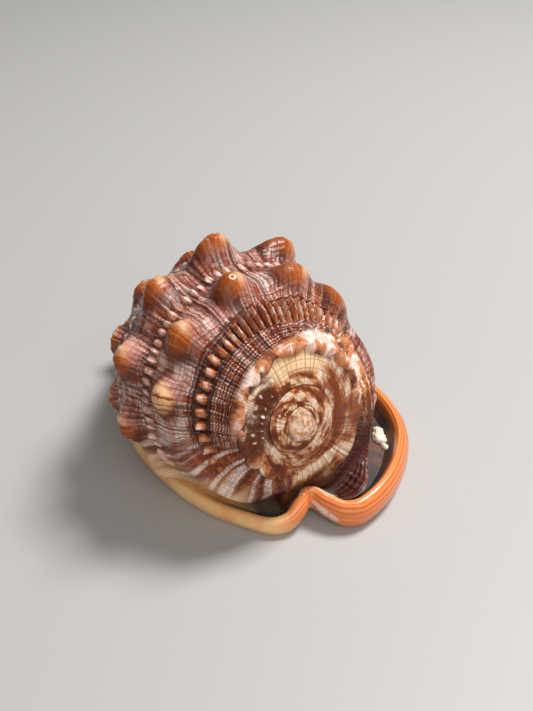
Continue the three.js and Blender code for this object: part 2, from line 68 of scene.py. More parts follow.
# Outer whorl: place across it, depth and radius at the top of the coil, how far the station
# grows along the coil, and the depth and radius that it reaches beside the lip.
WHORL_STATIONS = np.array([
    (0, 14, 14, 1, 17, 17),
    (0.05, 9.6, 20.3, 1, 12.3, 25.3),
    (0.07, 8.6, 22.6, 1, 11, 27.6),
    (0.085, 6.5, 23.2, 1, 9.6, 28.8),
    (0.105, 6.2, 24.4, 1, 9.1, 30.2),
    (0.13, 8.5, 26, 1, 9.6, 31.8),
    (0.17, 12.3, 28.2, 1, 10.5, 34),
    (0.27, 20, 34.2, 1, 11.5, 39),
    (0.38, 28.5, 41, 1, 13, 42.5),
    (0.48, 40.5, 43.5, 1, 22, 49),
    (0.58, 53, 45.5, 0.95, 36, 53.5),
    (0.67, 64, 43, 0.9, 52, 53),
    (0.75, 74, 38.5, 0.8, 67, 48),
    (0.82, 86, 30.5, 0.65, 82, 39),
    (0.88, 98, 22.5, 0.5, 96, 28.5),
    (0.94, 108, 15, 0.35, 107, 18),
    (0.98, 116, 8.5, 0.25, 116, 9),
    (1, 119, 0, 0.2, 119, 0),
]).T
SUTURE_ROWS = (0.0, 0.045, 8)
RAMP_ROWS = (0.05, 0.36, 72)
OUTER_ROWS = (0.367, 0.99, 78)
WHORL_COLUMNS = 480
WHORL_ROOT = 24.0
FLOOR_OF_WHORL = 4.5
FLOOR_ROUNDING = 2.5
SLOPED_UNTIL = -80.0
SLOPED_ACROSS = 0.4
LIP_GROWS = (70.0, 112.0)

# Shoulder beside the lip: growth angle, radius and depth.
LIP_SHOULDER = np.array([
    (98, 42.5, 13),
    (106, 42.3, 14),
    (119, 42, 13),
    (133, 43, 10),
    (146, 41, 1.5),
    (160, 36.5, 1),
    (167, 33.5, 7),
    (190, 33, 12),
]).T
SHOULDER_SPREAD = 0.085

# Rows of knobs: place and half length across the whorl, then angle, height and half width.
SHOULDER_ROW = 0.38
MIDDLE_ROW = 0.58
LOWER_ROW = 0.75
KNOB_ROWS = (
    (SHOULDER_ROW, 0.05, ((-94, 1.8, 7.5), (-64, 6, 8.5), (-36, 8, 9), (-3, 7.5, 8),
                          (30, 6.5, 9), (58, 4.5, 11), (88, 2.5, 9))),
    (MIDDLE_ROW, 0.045, ((-116, 3.5, 8), (-86, 6, 8), (-56, 7, 8), (-24, 8, 8), (7, 10, 8.5),
                         (41, 10, 9), (73, 5, 9), (105, 3, 9))),
    (LOWER_ROW, 0.038, ((-112, 3, 8), (-82, 5.5, 8), (-51, 5.5, 8), (-22, 6.5, 8), (9, 6.5, 8),
                        (43, 6, 8), (75, 4.5, 8), (107, 2.5, 8))),
)
KNOB_SLOPE = 1.75
FULL_KNOB = 5.0
FLANK_STEP = 3.5
FLANK_GAIN = 1.5

# Beads on the two cords between the rows of knobs, and the row of teeth on the ramp.
CORD_PLACES = (0.482, 0.668)
BEAD_SPACING = 4.7
TEETH_PLACE = 0.255
FIRST_TOOTH = -102.0
TEETH_WIDE = 8.5
TEETH_CLOSE = 4.7
TEETH_CLOSING = (-62.0, -8.0)
TEETH_SPAN = (-122.0, -92.0, 66.0, 96.0)
TEETH_HEIGHT = 2.4
TEETH_UNEVENNESS = 0.9
# Half length of a tooth across the whorl, at first and where the teeth have grown longer.
TEETH_LENGTHS = (0.019, 0.042)
TEETH_LENGTHEN = (-35.0, 5.0)
BEADS_SPAN = (-128.0, -96.0, 104.0, 134.0)
BEAD_HEIGHT = 1.15
BEAD_UNEVENNESS = 0.45
BEAD_LENGTH = 0.0205
PUCKER_HEIGHT = 0.35
PUCKER_LENGTH = 0.05

# Scalloped fold beside the spire, sunk where the edge of the spire stands above it.
LOBE_SPACING = 24.5
LOBE_WANDER = 0.35
LOBE_ROUNDNESS = 0.7
LOBE_WAVES = ((1.0, 1.0), (1.71, 2.0), (2.63, 4.0))
LOBE_PERIOD = 110.0
FOLD_SPAN = (-100.0, -62.0, 70.0, 110.0)
FOLD_START = (0.03, 0.07)
# Place and half width of the fold's edge, its top and the sunken stretch.
FOLD_EDGE = (0.088, 0.024)
FOLD_TOP = (0.112, 0.03)
SUNK_PLACE = (0.092, 0.028)
FOLD_REACH = 3.4
FOLD_BACK = 1.5
FOLD_HEIGHT = 0.7
LOBE_HEIGHT = 1.2
FOLD_SUNK = 2.6

# Scars where the lip once stood: growth angle, lean across the whorl, half width and depth.
SCARS = ((-95, 40, 1.4, 1.0), (-132, 30, 1.6, 0.6), (62, 0, 1.1, 0.5))
SCARS_CENTRE = 0.2
SCARS_END = (0.34, 0.4)
SCAR_DEPTH = 0.8

# Spire: radius and depth of its outer suture at growth angle 0.
SUTURE_RADIUS = 24.2
SUTURE_DEPTH = 8.2
SPIRE_TURNS = 3.5
SPIRE_STEP = 1.5
SPIRE_ROWS = 20
SPIRE_ROOT = 42.0
SUTURE_LIP = 1.25
RIB_HEIGHT = 0.16
RIB_SPACING = 4.2
APEX_RADII = (2.2, 6.0)
# Nodules stand out most round one growth angle. Their two rows: spacing, seed, place and half
# length across the strip, and the period over which they grow and shrink.
NODULE_HEIGHT = 1.1
NODULES_FRONT = -56.0
NODULES_SPREAD = 58.0
NODULE_ROWS = ((10.5, 51, 0.66, 0.11, 37.0), (9.5, 52, 0.34, 0.09, 29.0))

# Rim of the mouth, clockwise seen from above, starting at the notch: distances from the tip to
# the rim, height of its lower edge and crest, width of the roll and height of the trough.
RIM_STATIONS = np.array([
    (4.1, 0.2, 4.5, 14, 3.6, 11),
    (6, -5.2, 3, 13, 4.5, 10),
    (10.2, -11.4, 1, 12, 5, 8.5),
    (18, -14.6, 0.4, 12, 5.5, 7),
    (32, -11.5, 0.3, 12.5, 5.5, 6),
    (46, -3.2, 0.3, 13, 5.5, 6),
    (57, 8.5, 0.3, 13.5, 5.5, 6.5),
    (63, 24, 0.3, 13.5, 5.5, 6.5),
    (64, 43, 0.3, 13.5, 5.5, 7),
    (57.5, 63, 0.3, 13.5, 6, 8),
    (46, 82, 0.3, 13.5, 6.5, 9),
    (31, 97, 0.4, 13, 6.5, 10),
    (16, 107, 1.5, 13, 6, 11),
    (2, 110, 3, 13, 6, 12),
    (-11, 105, 1.5, 11, 5, 11),
    (-21, 94, 0.5, 9, 4, 10),
    (-28, 79, 0.4, 7.5, 3.5, 8.5),
    (-31, 61, 0.4, 7, 3.5, 8),
    (-30, 41, 0.4, 7, 3.5, 7),
    (-26, 23.5, 0.4, 7, 3.5, 5.5),
    (-18, 8, 0.4, 7, 4, 4.5),
    (-12.5, 0.8, 0.4, 7.5, 4, 4.5),
    (-7, -2.2, 0.8, 9, 4, 6),
    (-2, -2.6, 2, 12, 4.5, 9),
    (1.9, -1.3, 3.6, 13.5, 4, 11),
])
RIM_COLUMNS = 320
# Stations between which the rim is orange, and between which it has no open trough.
LIP_SPAN = (-0.5, 0.6, 12.5, 15.0)
CLOSED_SPAN = (11.0, 13.5, 19.0, 20.3)
NOTCH_START = (20.6, 23.0)
# Station and half width of the glazed and of the worn patch beside the notch.
GLAZED_PLACE = (0.5, 1.6)
WORN_PLACE = (0.9, 0.8)

# Section of the rim from below the mouth outwards, over the crest and into the trough: inward
# distance as a share of the roll and as a length, and height as shares of edge, crest and trough
# and as a length.
RIM_SECTION = np.array([
    (1.5, 0, 1, 0, 0, -0.7),
    (0.5, 0, 1, 0, 0, -0.6),
    (0.12, 0, 0.78, 0.22, 0, 0),
    (0, 0, 0.5, 0.5, 0, 0),
    (0.12, 0, 0.2, 0.8, 0, 0),
    (0.42, 0, 0.03, 0.97, 0, 0),
    (0.8, 0, 0.03, 0.97, 0, 0),
    (1.1, 0, 0, 0.5, 0.5, 0),
    (1.5, 0.5, 0, 0, 1, 0),
])
RIM_ROWS = 34
MOUTH_HEIGHT = 3.0
TROUGH_FLOOR = 10.0

# Beside the notch the low part of the spire and the whorl stands back from the rim's crest and
# is in shadow.
BACK_DEPTH = 3.4
BACK_HEIGHTS = (13.0, 21.0)
BACK_SPAN = (-24.0, -10.0, 4.0, 14.0)
SHADOW_SPAN = (-26.0, -14.0, 16.0, 30.0)
SHADOW_HEIGHTS = (14.0, 25.0)
SHADOW_BEFORE = -30.0

# Grit stuck in the trough: centre, half widths and roughness of each lump.
LUMPS = (
    ((37.4, -40.8, 7.6), (2.4, 3.2, 1.9), 0.5),
    ((39.7, -37.6, 7.4), (1.9, 2.3, 1.8), 0.5),
    ((36.6, -45.2, 6.6), (1.2, 2.6, 1.4), 0.5),
)
LUMP_RINGS = 18
LUMP_SIDES = 28

# Canal: centre, half width and half height of its sections from the mouth end to the tip.
CANAL_SECTIONS = np.array([
    (8, 92, 10, 15, 8),
    (4, 104, 12, 12, 8.5),
    (1, 112, 15, 9.5, 7.5),
    (0, 116.5, 19, 7, 5.5),
    (-0.5, 119.3, 23, 4.5, 4),
], dtype=float)
CANAL_RINGS = 24
# Dished end of the canal: rings as a share of the last one, and how deep each lies.
CANAL_DISH = ((0.9, -0.5), (0.76, -0.3), (0.62, 1.2), (0.45, 2.6), (0.2, 3.1))
CANAL_SIDES = 64

# Mouth: a narrow curved slit with teeth on the lip side and finer folds on the inner side, and
# the chamber that winds up from it.
MOUTH_FROM = 10.0
MOUTH_TO = 104.0
MOUTH_MIDDLE_X = 12.5
MOUTH_BOW = 2.0
MOUTH_WIDTH = 9.0
TOOTH_SPACING = 4.6
TOOTH_DEPTH = 1.3
FOLD_SPACING = 5.0
FOLD_DEPTH = 0.7
SLIT_BOTTOM = -2.0
SLIT_TOP = 15.0
CHAMBER_ANGLES = (170, 158, 144, 128, 110, 90, 65, 40, 15, -10)
CHAMBER_TOP = 22.0
CHAMBER_ACROSS = (0.4, 0.88)
CHAMBER_ROWS = 17
CHAMBER_WALL = 5.5
CHAMBER_INNER_SHARE = 0.16
CHAMBER_FLOOR = 9.0

# Centre of the small round mark on the tip of a knob, and the distances its ring spans, in
# metres.
KNOB_MARK = (-0.0118, -0.0166, 0.0846)
MARK_RING = (0.0006, 0.0008, 0.0011, 0.0013)

# Bands across the whorl and stretches of the coil, as growth angles, that differ in colour.
RAMP_BAND = (0.1, 0.15, 0.29, 0.36)
TEETH_BAND = (0.205, 0.225, 0.285, 0.31)
CORD_BANDS = ((0.445, 0.47, 0.495, 0.52), (0.63, 0.655, 0.68, 0.705))
EARLY_END = (-100.0, -80.0)
LAST_START = (92.0, 122.0)
PALE_KNOB = (-80.0, -73.0, -56.0, -49.0)
DARK_SIDE = (-476.0, -460.0, -390.0, -374.0)
PALE_SIDE = (-380.0, -369.0, -326.0, -312.0)
LIP_SIDE = (-320.0, -295.0, -245.0, -215.0)
GLAZE_HEIGHTS = (13.0, 32.0)
SHIELD_SIDE = (24.0, 34.0)
SHADED_HEIGHTS = (6.0, 15.0)

# Key and fill lights: place, width and share of the key's power.
LIGHTS = (
    ((0.66, -0.06, 1.2), 0.4, 1.0),
    ((-0.35, -0.95, 0.95), 1.2, 0.4),
)
CAMERA_PLACE = (-0.147325, -0.22945, 0.235928)
CAMERA_TURN = (54.0, 0.0, -35.0)
CAMERA_LENS = 45.57


def smooth(value, start, end):
    """Smooth step from 0 at start to 1 at end."""
    share = np.clip((value - start) / (end - start), 0, 1)
    return share * share * (3 - 2 * share)


def window(value, start, full, fades, end):
    """1 between full and fades, with smooth steps from start and to end."""
    return smooth(value, start, full) * (1 - smooth(value, fades, end))


def hump(value, middle, half_width, power=2.0):
    """Rounded bump of height 1 round a middle."""
    return np.exp(-np.abs((value - middle) / half_width) ** power)


def blend(first, second, share):
    """Value between two others."""
    return first + (second - first) * share


def through(places, values, at):
    """Smooth curve through the values, with slopes from their neighbours on both sides."""
    widths = np.diff(places)
    rises = np.diff(values) / widths
    slopes = np.concatenate(([rises[0]], (rises[:-1] + rises[1:]) / 2, [rises[-1]]))
    i = np.clip(np.searchsorted(places, at, side="right") - 1, 0, len(places) - 2)
    u = (at - places[i]) / widths[i]
    v = 1 - u
    return (values[i] * v * v * (1 + 2 * u) + values[i + 1] * u * u * (3 - 2 * u)
            + widths[i] * u * v * (slopes[i] * v - slopes[i + 1] * u))


def wander(angle, seed, period):
    """Slow uneven wave between -1 and 1 that differs with its seed."""
    phases = np.random.default_rng(seed).uniform(0, 2 * math.pi, 4)
    wave = sum(
        np.sin(2 * math.pi * angle * share / period + phase)
        for share, phase in zip((1.0, 1.71, 2.63, 4.1), phases)
    )
    return wave / 2.6


def growth(angle, settings):
    """Size of the coil at a growth angle."""
    return settings.growth_per_turn ** (angle / TURN)


def spire_depth(radius, size, settings):
    """Depth of the spire's slope at a radius, where the coil has grown to a size."""
    across = np.log(np.maximum(radius, 0.1) / (SUTURE_RADIUS * size)) / math.log(settings.growth_per_turn)
    bulge = np.sin(math.pi * np.clip(across, 0, 1)) * (1 - 0.35 * np.clip(across, 0, 1))
    fullness = settings.fullness / MILLIMETRE
    return SUTURE_DEPTH * radius / SUTURE_RADIUS - fullness * size * bulge


def coil_points(angle, radius, depth, settings):
    """Points in the part's frame, in millimetres."""
    lean = settings.axis_tilt
    swing = np.radians(angle)
    up = radius * np.cos(swing)
    return np.stack(np.broadcast_arrays(
        TIP[0] + radius * np.sin(swing),
        TIP[1] + up * math.sin(lean) + depth * math.cos(lean),
        TIP[2] + up * math.cos(lean) - depth * math.sin(lean),
    ), axis=-1)


def from_tip(x, y, z):
    """Points at distances from the tip of the spire and at a height above the floor."""
    return np.stack(np.broadcast_arrays(TIP[0] + x, TIP[1] + y, z), axis=-1)


def keep_above(floor, height):
    """Rounds a height off smoothly so that nothing goes below the floor."""
    return floor + FLOOR_ROUNDING * np.log1p(np.exp((height - floor) / FLOOR_ROUNDING))


def stand_back(points):
    """Moves low points beside the notch back, behind the crest of the rim."""
    near = window(points[..., 0] - TIP[0], *BACK_SPAN)
    points[..., 1] += BACK_DEPTH * near * (1 - smooth(points[..., 2], *BACK_HEIGHTS))
    return points


def whorl_section(angle, at, settings):
    """Radius and depth of the outer whorl's smooth surface, before its relief."""
    places = WHORL_STATIONS[0]
    depth, radius, grows, lip_depth, lip_radius = (
        through(places, values, at) for values in WHORL_STATIONS[1:]
    )
    closing = smooth(angle, LIP_ANGLE, FIRST_ANGLE + TURN)
    grown = growth(np.minimum(angle, LIP_ANGLE), settings)
    size = blend(grown, growth(FIRST_ANGLE, settings), closing)
    scale = size ** grows
    depth = depth * scale
    radius = radius * scale
    early = np.where(angle < 0, 1 - smooth(angle, FIRST_ANGLE, SLOPED_UNTIL), closing)
    inside = 1 - smooth(at, SLOPED_ACROSS, SLOPED_ACROSS + 0.1)
    sloped = early * inside * smooth(at, 0.08, 0.12)
    depth = blend(depth, spire_depth(radius, size, settings), sloped)
    beside_lip = smooth(angle, *LIP_GROWS) * (1 - closing) * smooth(at, 0.1, 0.2)
    depth = blend(depth, lip_depth, beside_lip)
    radius = blend(radius, lip_radius, beside_lip)
    angles, radii, depths = LIP_SHOULDER
    near = hump(at, SHOULDER_ROW, SHOULDER_SPREAD) * (1 - closing) * (angle > angles[0])
    along = np.clip(angle, angles[0], angles[-1])
    radius = radius + (through(angles, radii, along) - radii[0]) * near
    depth = depth + (through(angles, depths, along) - depths[0]) * near
    return radius, depth


def knob_relief(angle, at):
    """Height of the knobs, and how much of a knob a place is, from 0 to 1."""
    height = np.zeros(np.broadcast(angle, at).shape)
    share = np.zeros_like(height)
    for place, half_length, knobs in KNOB_ROWS:
        across = np.abs((at - place) / half_length) ** KNOB_SLOPE
        for middle, tall, half_width in knobs:
            along = np.abs((angle - middle) / half_width)
            knob = np.sin(math.pi / 2 * np.exp(-along ** KNOB_SLOPE - across))
            height += tall * knob
            share = np.maximum(share, knob * min(tall / FULL_KNOB, 1.0))
    return height, share


# The near flank of each knob is painted with shade and the far flank with light.
def knob_sides(angle, at):
    """How much a place lies on the near and on the far flank of a knob, along the coil."""
    slope = knob_relief(angle + FLANK_STEP, at)[1] - knob_relief(angle - FLANK_STEP, at)[1]
    return np.clip(FLANK_GAIN * slope, 0, 1), np.clip(-FLANK_GAIN * slope, 0, 1)


def notch_shadow(points):
    """1 deep beside the notch, where little light gets in, and 0 away from it."""
    near = window(points[..., 0] - TIP[0], *SHADOW_SPAN) * (points[..., 1] < SHADOW_BEFORE)
    return near * (1 - smooth(points[..., 2], *SHADOW_HEIGHTS))


def bead_wave(angle, spacing, seed, sharpness):
    """Row of uneven beads along the coil, from 0 in the gaps to 1 on each bead."""
    drift = wander(angle, seed, 47.0) * 0.16
    wave = 0.5 + 0.5 * np.cos(2 * math.pi * (angle / spacing + drift))
    return wave ** sharpness


def tooth_count(angle):
    """How many teeth lie before an angle, with the teeth at whole numbers."""
    places = [FIRST_TOOTH]
    while places[-1] < LIP_ANGLE:
        share = smooth(places[-1], *TEETH_CLOSING)
        places.append(places[-1] + blend(TEETH_WIDE, TEETH_CLOSE, share))
    before = (np.minimum(angle, FIRST_TOOTH) - FIRST_TOOTH) / TEETH_WIDE
    return np.interp(angle, places, range(len(places))) + before


def small_relief(angle, at):
    """Height of the teeth, beads, threads and wrinkles, and how bead-like a place is."""
    outside = window(angle, *BEADS_SPAN)
    teeth_there = window(angle, *TEETH_SPAN)
    stretch = blend(*TEETH_LENGTHS, smooth(angle, *TEETH_LENGTHEN))
    middle = TEETH_PLACE + 0.004 * wander(angle, 3, 60.0)
    teeth = bead_wave(tooth_count(angle), 1.0, 11, 1.0) * hump(at, middle, stretch, 2.6)
    height = (TEETH_HEIGHT + TEETH_UNEVENNESS * wander(angle, 5, 17.0)) * teeth * teeth_there
    beads = teeth * teeth_there
    height -= 0.7 * hump(at, middle, stretch * 1.1, 3) * teeth_there
    for number, place in enumerate(CORD_PLACES):
        row = bead_wave(angle, BEAD_SPACING, 21 + number, 0.8)
        bead = row * hump(at, place + 0.003 * wander(angle, 35, 21.0), BEAD_LENGTH, 2.4)
        uneven = BEAD_UNEVENNESS * wander(angle, 31 + number, 13.0)
        height += (BEAD_HEIGHT + uneven) * bead * outside
        beads = np.maximum(beads, bead * outside)
        pucker = bead_wave(angle, BEAD_SPACING / 2, 41 + number, 0.8)
        height += PUCKER_HEIGHT * pucker * hump(at, place, PUCKER_LENGTH) * outside
    ramp = window(at, 0.115, 0.15, 0.32, 0.36)
    height += 0.2 * np.cos(2 * math.pi * at / 0.0235) * ramp
    body = window(at, 0.42, 0.46, 0.85, 0.95)
    height += (0.3 * wander(angle, 81, 11.0) + 0.14 * wander(angle, 83, 3.7)) * (body + ramp)
    height += 0.12 * np.cos(2 * math.pi * at / 0.0223) * body * outside
    return height, beads


def scallops(angle):
    """Uneven lobes along the sutures, from 0 between them to 1."""
    swing = 2 * math.pi * angle / LOBE_PERIOD
    drift = sum(np.sin(share * swing + start) for share, start in LOBE_WAVES) / 2.2
    return np.abs(np.sin(math.pi * (angle / LOBE_SPACING + LOBE_WANDER * drift))) ** LOBE_ROUNDNESS


def spire_stands_above(angle):
    """1 where the edge of the spire stands above the outer whorl, 0 where the fold does."""
    return 1 - window(angle, *FOLD_SPAN)


def suture_relief(angle, at):
    """Scalloped fold beside the spire: how far its edge reaches inwards, and its height."""
    folded = 1 - spire_stands_above(angle)
    lobe = scallops(angle)
    edge = hump(at, *FOLD_EDGE) * smooth(at, *FOLD_START)
    inwards = (FOLD_REACH * lobe - FOLD_BACK) * edge * folded
    fold = (FOLD_HEIGHT + LOBE_HEIGHT * lobe) * hump(at, *FOLD_TOP) * folded
    sunk = FOLD_SUNK * hump(at, *SUNK_PLACE) * (1 - folded)
    return inwards, fold - sunk


def growth_scars(angle, at):
    """Grooves left where the lip once stood."""
    scars = sum(
        deep * hump(angle, middle + lean * (at - SCARS_CENTRE), half_width)
        for middle, lean, half_width, deep in SCARS
    )
    return -SCAR_DEPTH * scars * (1 - smooth(at, *SCARS_END))


def whorl_surface(angle, at, settings):
    """Points of the outer whorl with its relief, and the weights that its finish reads."""
    radius, depth = whorl_section(angle, at, settings)
    knobs, knob_share = knob_relief(angle, at)
    small, bead_share = small_relief(angle, at)
    inwards, fold = suture_relief(angle, at)
    fade = window(angle, FIRST_ANGLE, FIRST_ANGLE + 8, FIRST_ANGLE + 352, FIRST_ANGLE + TURN)
    raised = knobs + (small + fold + growth_scars(angle, at)) * fade
    points = coil_points(angle, radius + raised - inwards * fade, depth - raised / 4, settings)
    points[..., 2] = keep_above(FLOOR_OF_WHORL, points[..., 2])
    return stand_back(points), knob_share, bead_share


def deselect_all():
    """Leaves nothing selected."""
    bpy.ops.object.select_all(action="DESELECT")


def make_active(piece):
    """Selects one piece alone and makes it the active one."""
    deselect_all()
    piece.select_set(True)
    bpy.context.view_layer.objects.active = piece


def shape_grid(name, points, maps, finish):
    """Adds a grid, moves its points to their places, writes its maps and closes it."""
    rows, columns = points.shape[:2]
    deselect_all()
    bpy.ops.mesh.primitive_grid_add(
        x_subdivisions=columns - 1, y_subdivisions=rows - 1, size=2.0, calc_uvs=False)
    piece = bpy.context.active_object
    piece.name = name
    mesh = piece.data
    mesh.name = name
    if len(mesh.vertices) != rows * columns:
        raise RuntimeError(f"{name}: the grid has {len(mesh.vertices)} points")
    flat = np.empty(rows * columns * 3)
    mesh.vertices.foreach_get("co", flat)
    flat = flat.reshape(-1, 3)
    column = np.rint((flat[:, 0] + 1) / 2 * (columns - 1)).astype(int)
    row = np.rint((flat[:, 1] + 1) / 2 * (rows - 1)).astype(int)
    mesh.vertices.foreach_set("co", (points[row, column] * MILLIMETRE).ravel())
    corner = np.empty(len(mesh.loops), dtype=np.int32)
    mesh.loops.foreach_get("vertex_index", corner)
    for label, values in maps.items():
        layer = mesh.uv_layers.new(name=label)
        layer.data.foreach_set("uv", values[row, column][corner].ravel())
    mesh.materials.append(finish)
    close_mesh(piece)
    return piece


def close_mesh(piece):
    """Merges doubles and turns the faces outwards."""
    make_active(piece)
    bpy.ops.object.mode_set(mode="EDIT")
    bpy.ops.mesh.select_all(action="SELECT")
    bpy.ops.mesh.remove_doubles(threshold=0.002 * MILLIMETRE)
    bpy.ops.mesh.normals_make_consistent(inside=False)
    bpy.ops.object.mode_set(mode="OBJECT")


def make_maps(points, **weights):
    """The maps of a grid of points, with two weights in each, or zeros where none are given."""
    maps = {}
    for label in MAPS:
        given = weights.get(label, (0.0, 0.0))
        maps[label] = np.stack([np.broadcast_to(weight, points.shape[:2]) for weight in given],
                               axis=-1)
    return maps


def with_hubs(points, start, end):
    """Rings of points with a closing point before the first and after the last."""
    first = np.broadcast_to(start, points[:1].shape)
    last = np.broadcast_to(end, points[:1].shape)
    return np.concatenate((first, points, last))


def with_caps(rings, closed):
    """Closed rings with the middles of the first and last open ring as closing points."""
    return with_hubs(closed, rings[0].mean(axis=0), rings[-1].mean(axis=0))


def with_end_rows(values):
    """Map values with their first and last rows repeated for the closing points."""
    return np.concatenate((values[:1], values, values[-1:]))


def close_round(rings):
    """Rings of points with the first point repeated at the end."""
    return np.concatenate((rings, rings[:, :1]), axis=1)


def combine(piece, other, operation):
    """Joins or cuts a piece with another one, which is used up."""
    make_active(piece)
    change = piece.modifiers.new(operation.title(), "BOOLEAN")
    change.operation = operation
    change.solver = "MANIFOLD"
    change.material_mode = "TRANSFER"
    change.object = other
    bpy.ops.object.modifier_apply(modifier=change.name)
    mesh = other.data
    bpy.data.objects.remove(other)
    bpy.data.meshes.remove(mesh)


class Paint:
    """A socket in a finish. Python arithmetic on it adds Math nodes."""

    def __init__(self, tree, socket):
        self.tree = tree
        self.socket = socket

    def node(self, kind, settings=None, inputs=None, output=0):
        """Adds a node, sets it up, fills its sockets with values or links, gives one output."""
        made = self.tree.nodes.new(kind)
        for name, value in (settings or {}).items():
            setattr(made, name, value)
        for name, value in (inputs or {}).items():
            if isinstance(value, Paint):
                self.tree.links.new(value.socket, made.inputs[name])
            else:
                made.inputs[name].default_value = value
        return Paint(self.tree, made.outputs[output])

    def math(self, operation, *values):
        """Adds a Math node whose first value is this one, unless all are given."""
        values = values or (self,)
        return self.node("ShaderNodeMath", {"operation": operation}, dict(enumerate(values)))

    def __add__(self, other):
        return self.math("ADD", self, other)

    __radd__ = __add__

    def __mul__(self, other):
        return self.math("MULTIPLY", self, other)

    __rmul__ = __mul__

    def __sub__(self, other):
        return self.math("SUBTRACT", self, other)

    def __rsub__(self, other):
        return self.math("SUBTRACT", other, self)

    def most(self, other):
        """Larger of two values."""
        return self.math("MAXIMUM", self, other)

    def step(self, start, end):
        """Smooth step from 0 at start to 1 at end."""
        return self.node("ShaderNodeMapRange", {"interpolation_type": "SMOOTHSTEP"},
                         {"Value": self, "From Min": start, "From Max": end})

    def band(self, start, full, fades, end):
        """Band that is 1 between full and fades."""
        return self.step(start, full) * (1 - self.step(fades, end))

    def streaks(self, scale, detail=2.0, roughness=0.5, offset=0.0):
        """Uneven stripes across the direction that this value grows in."""
        return self.node("ShaderNodeTexNoise", {"noise_dimensions": "1D"},
                         {"W": self + offset, "Scale": scale, "Detail": detail,
                          "Roughness": roughness})

    def ripple(self, spacing, drift):
        """Even wave from 0 to 1 along this value, shifted by a drift."""
        return (self * (2 * math.pi / spacing) + drift).math("SINE") * 0.5 + 0.5

    def layer(self, over, share):
        """This colour with another laid over it by a share."""
        over = over if isinstance(over, Paint) else opaque(over)
        return self.node("ShaderNodeMix", {"data_type": "RGBA"}, {0: share, 6: self, 7: over}, 2)


class Finish:
    """A new material with its Principled shader and the maps that its colours follow."""

    def __init__(self, name):
        self.material = bpy.data.materials.new(name)
        self.material.use_nodes = True
        self.tree = self.material.node_tree
        self.shader = self.tree.nodes["Principled BSDF"]
        self.start = Paint(self.tree, None)

    def parts(self, label):
        """The two values of a map."""
        uv = self.start.node("ShaderNodeUVMap", {"uv_map": label})
        made = self.tree.nodes.new("ShaderNodeSeparateXYZ")
        self.tree.links.new(uv.socket, made.inputs[0])
        return Paint(self.tree, made.outputs[0]), Paint(self.tree, made.outputs[1])

    def colour(self, value):
        """A constant colour to lay others over."""
        value = opaque(value)
        return self.start.node("ShaderNodeMix", {"data_type": "RGBA"},
                               {0: 0.0, 6: value, 7: value}, 2)

    def start_from(self, value):
        """Starts the ground with a colour and gives the method that lays others over it."""
        self.ground = self.colour(value)
        return self.lay

    def lay(self, over, share):
        """Lays a colour over the ground by a share."""
        self.ground = self.ground.layer(over, share)

    def vector(self, first, second, third=0.0):
        """A vector from its parts."""
        return self.start.node("ShaderNodeCombineXYZ", None, {0: first, 1: second, 2: third})

    def noise(self, vector, scale, detail=2.0, roughness=0.5):
        """Cloudy noise over a vector."""
        return self.start.node("ShaderNodeTexNoise", None,
                               {"Vector": vector, "Scale": scale, "Detail": detail,
                                "Roughness": roughness})

    def place(self):
        """Object coordinates."""
        return self.start.node("ShaderNodeTexCoord", None, None, 3)

    def feed(self, **sockets):
        """Links values to the shader's sockets, or sets them."""
        for name, value in sockets.items():
            target = self.shader.inputs[name.replace("_", " ").title().replace("Ior", "IOR")]
            if isinstance(value, Paint):
                self.tree.links.new(value.socket, target)
            else:
                target.default_value = value
        return self.material

    def bump(self, height, strength, distance):
        """A Bump node for the shader's Normal."""
        return self.start.node("ShaderNodeBump", None,
                               {"Height": height, "Strength": strength,
                                "Distance": distance})


def opaque(colour):
    """A colour property as the four numbers of a colour socket."""
    return (*colour, 1.0)


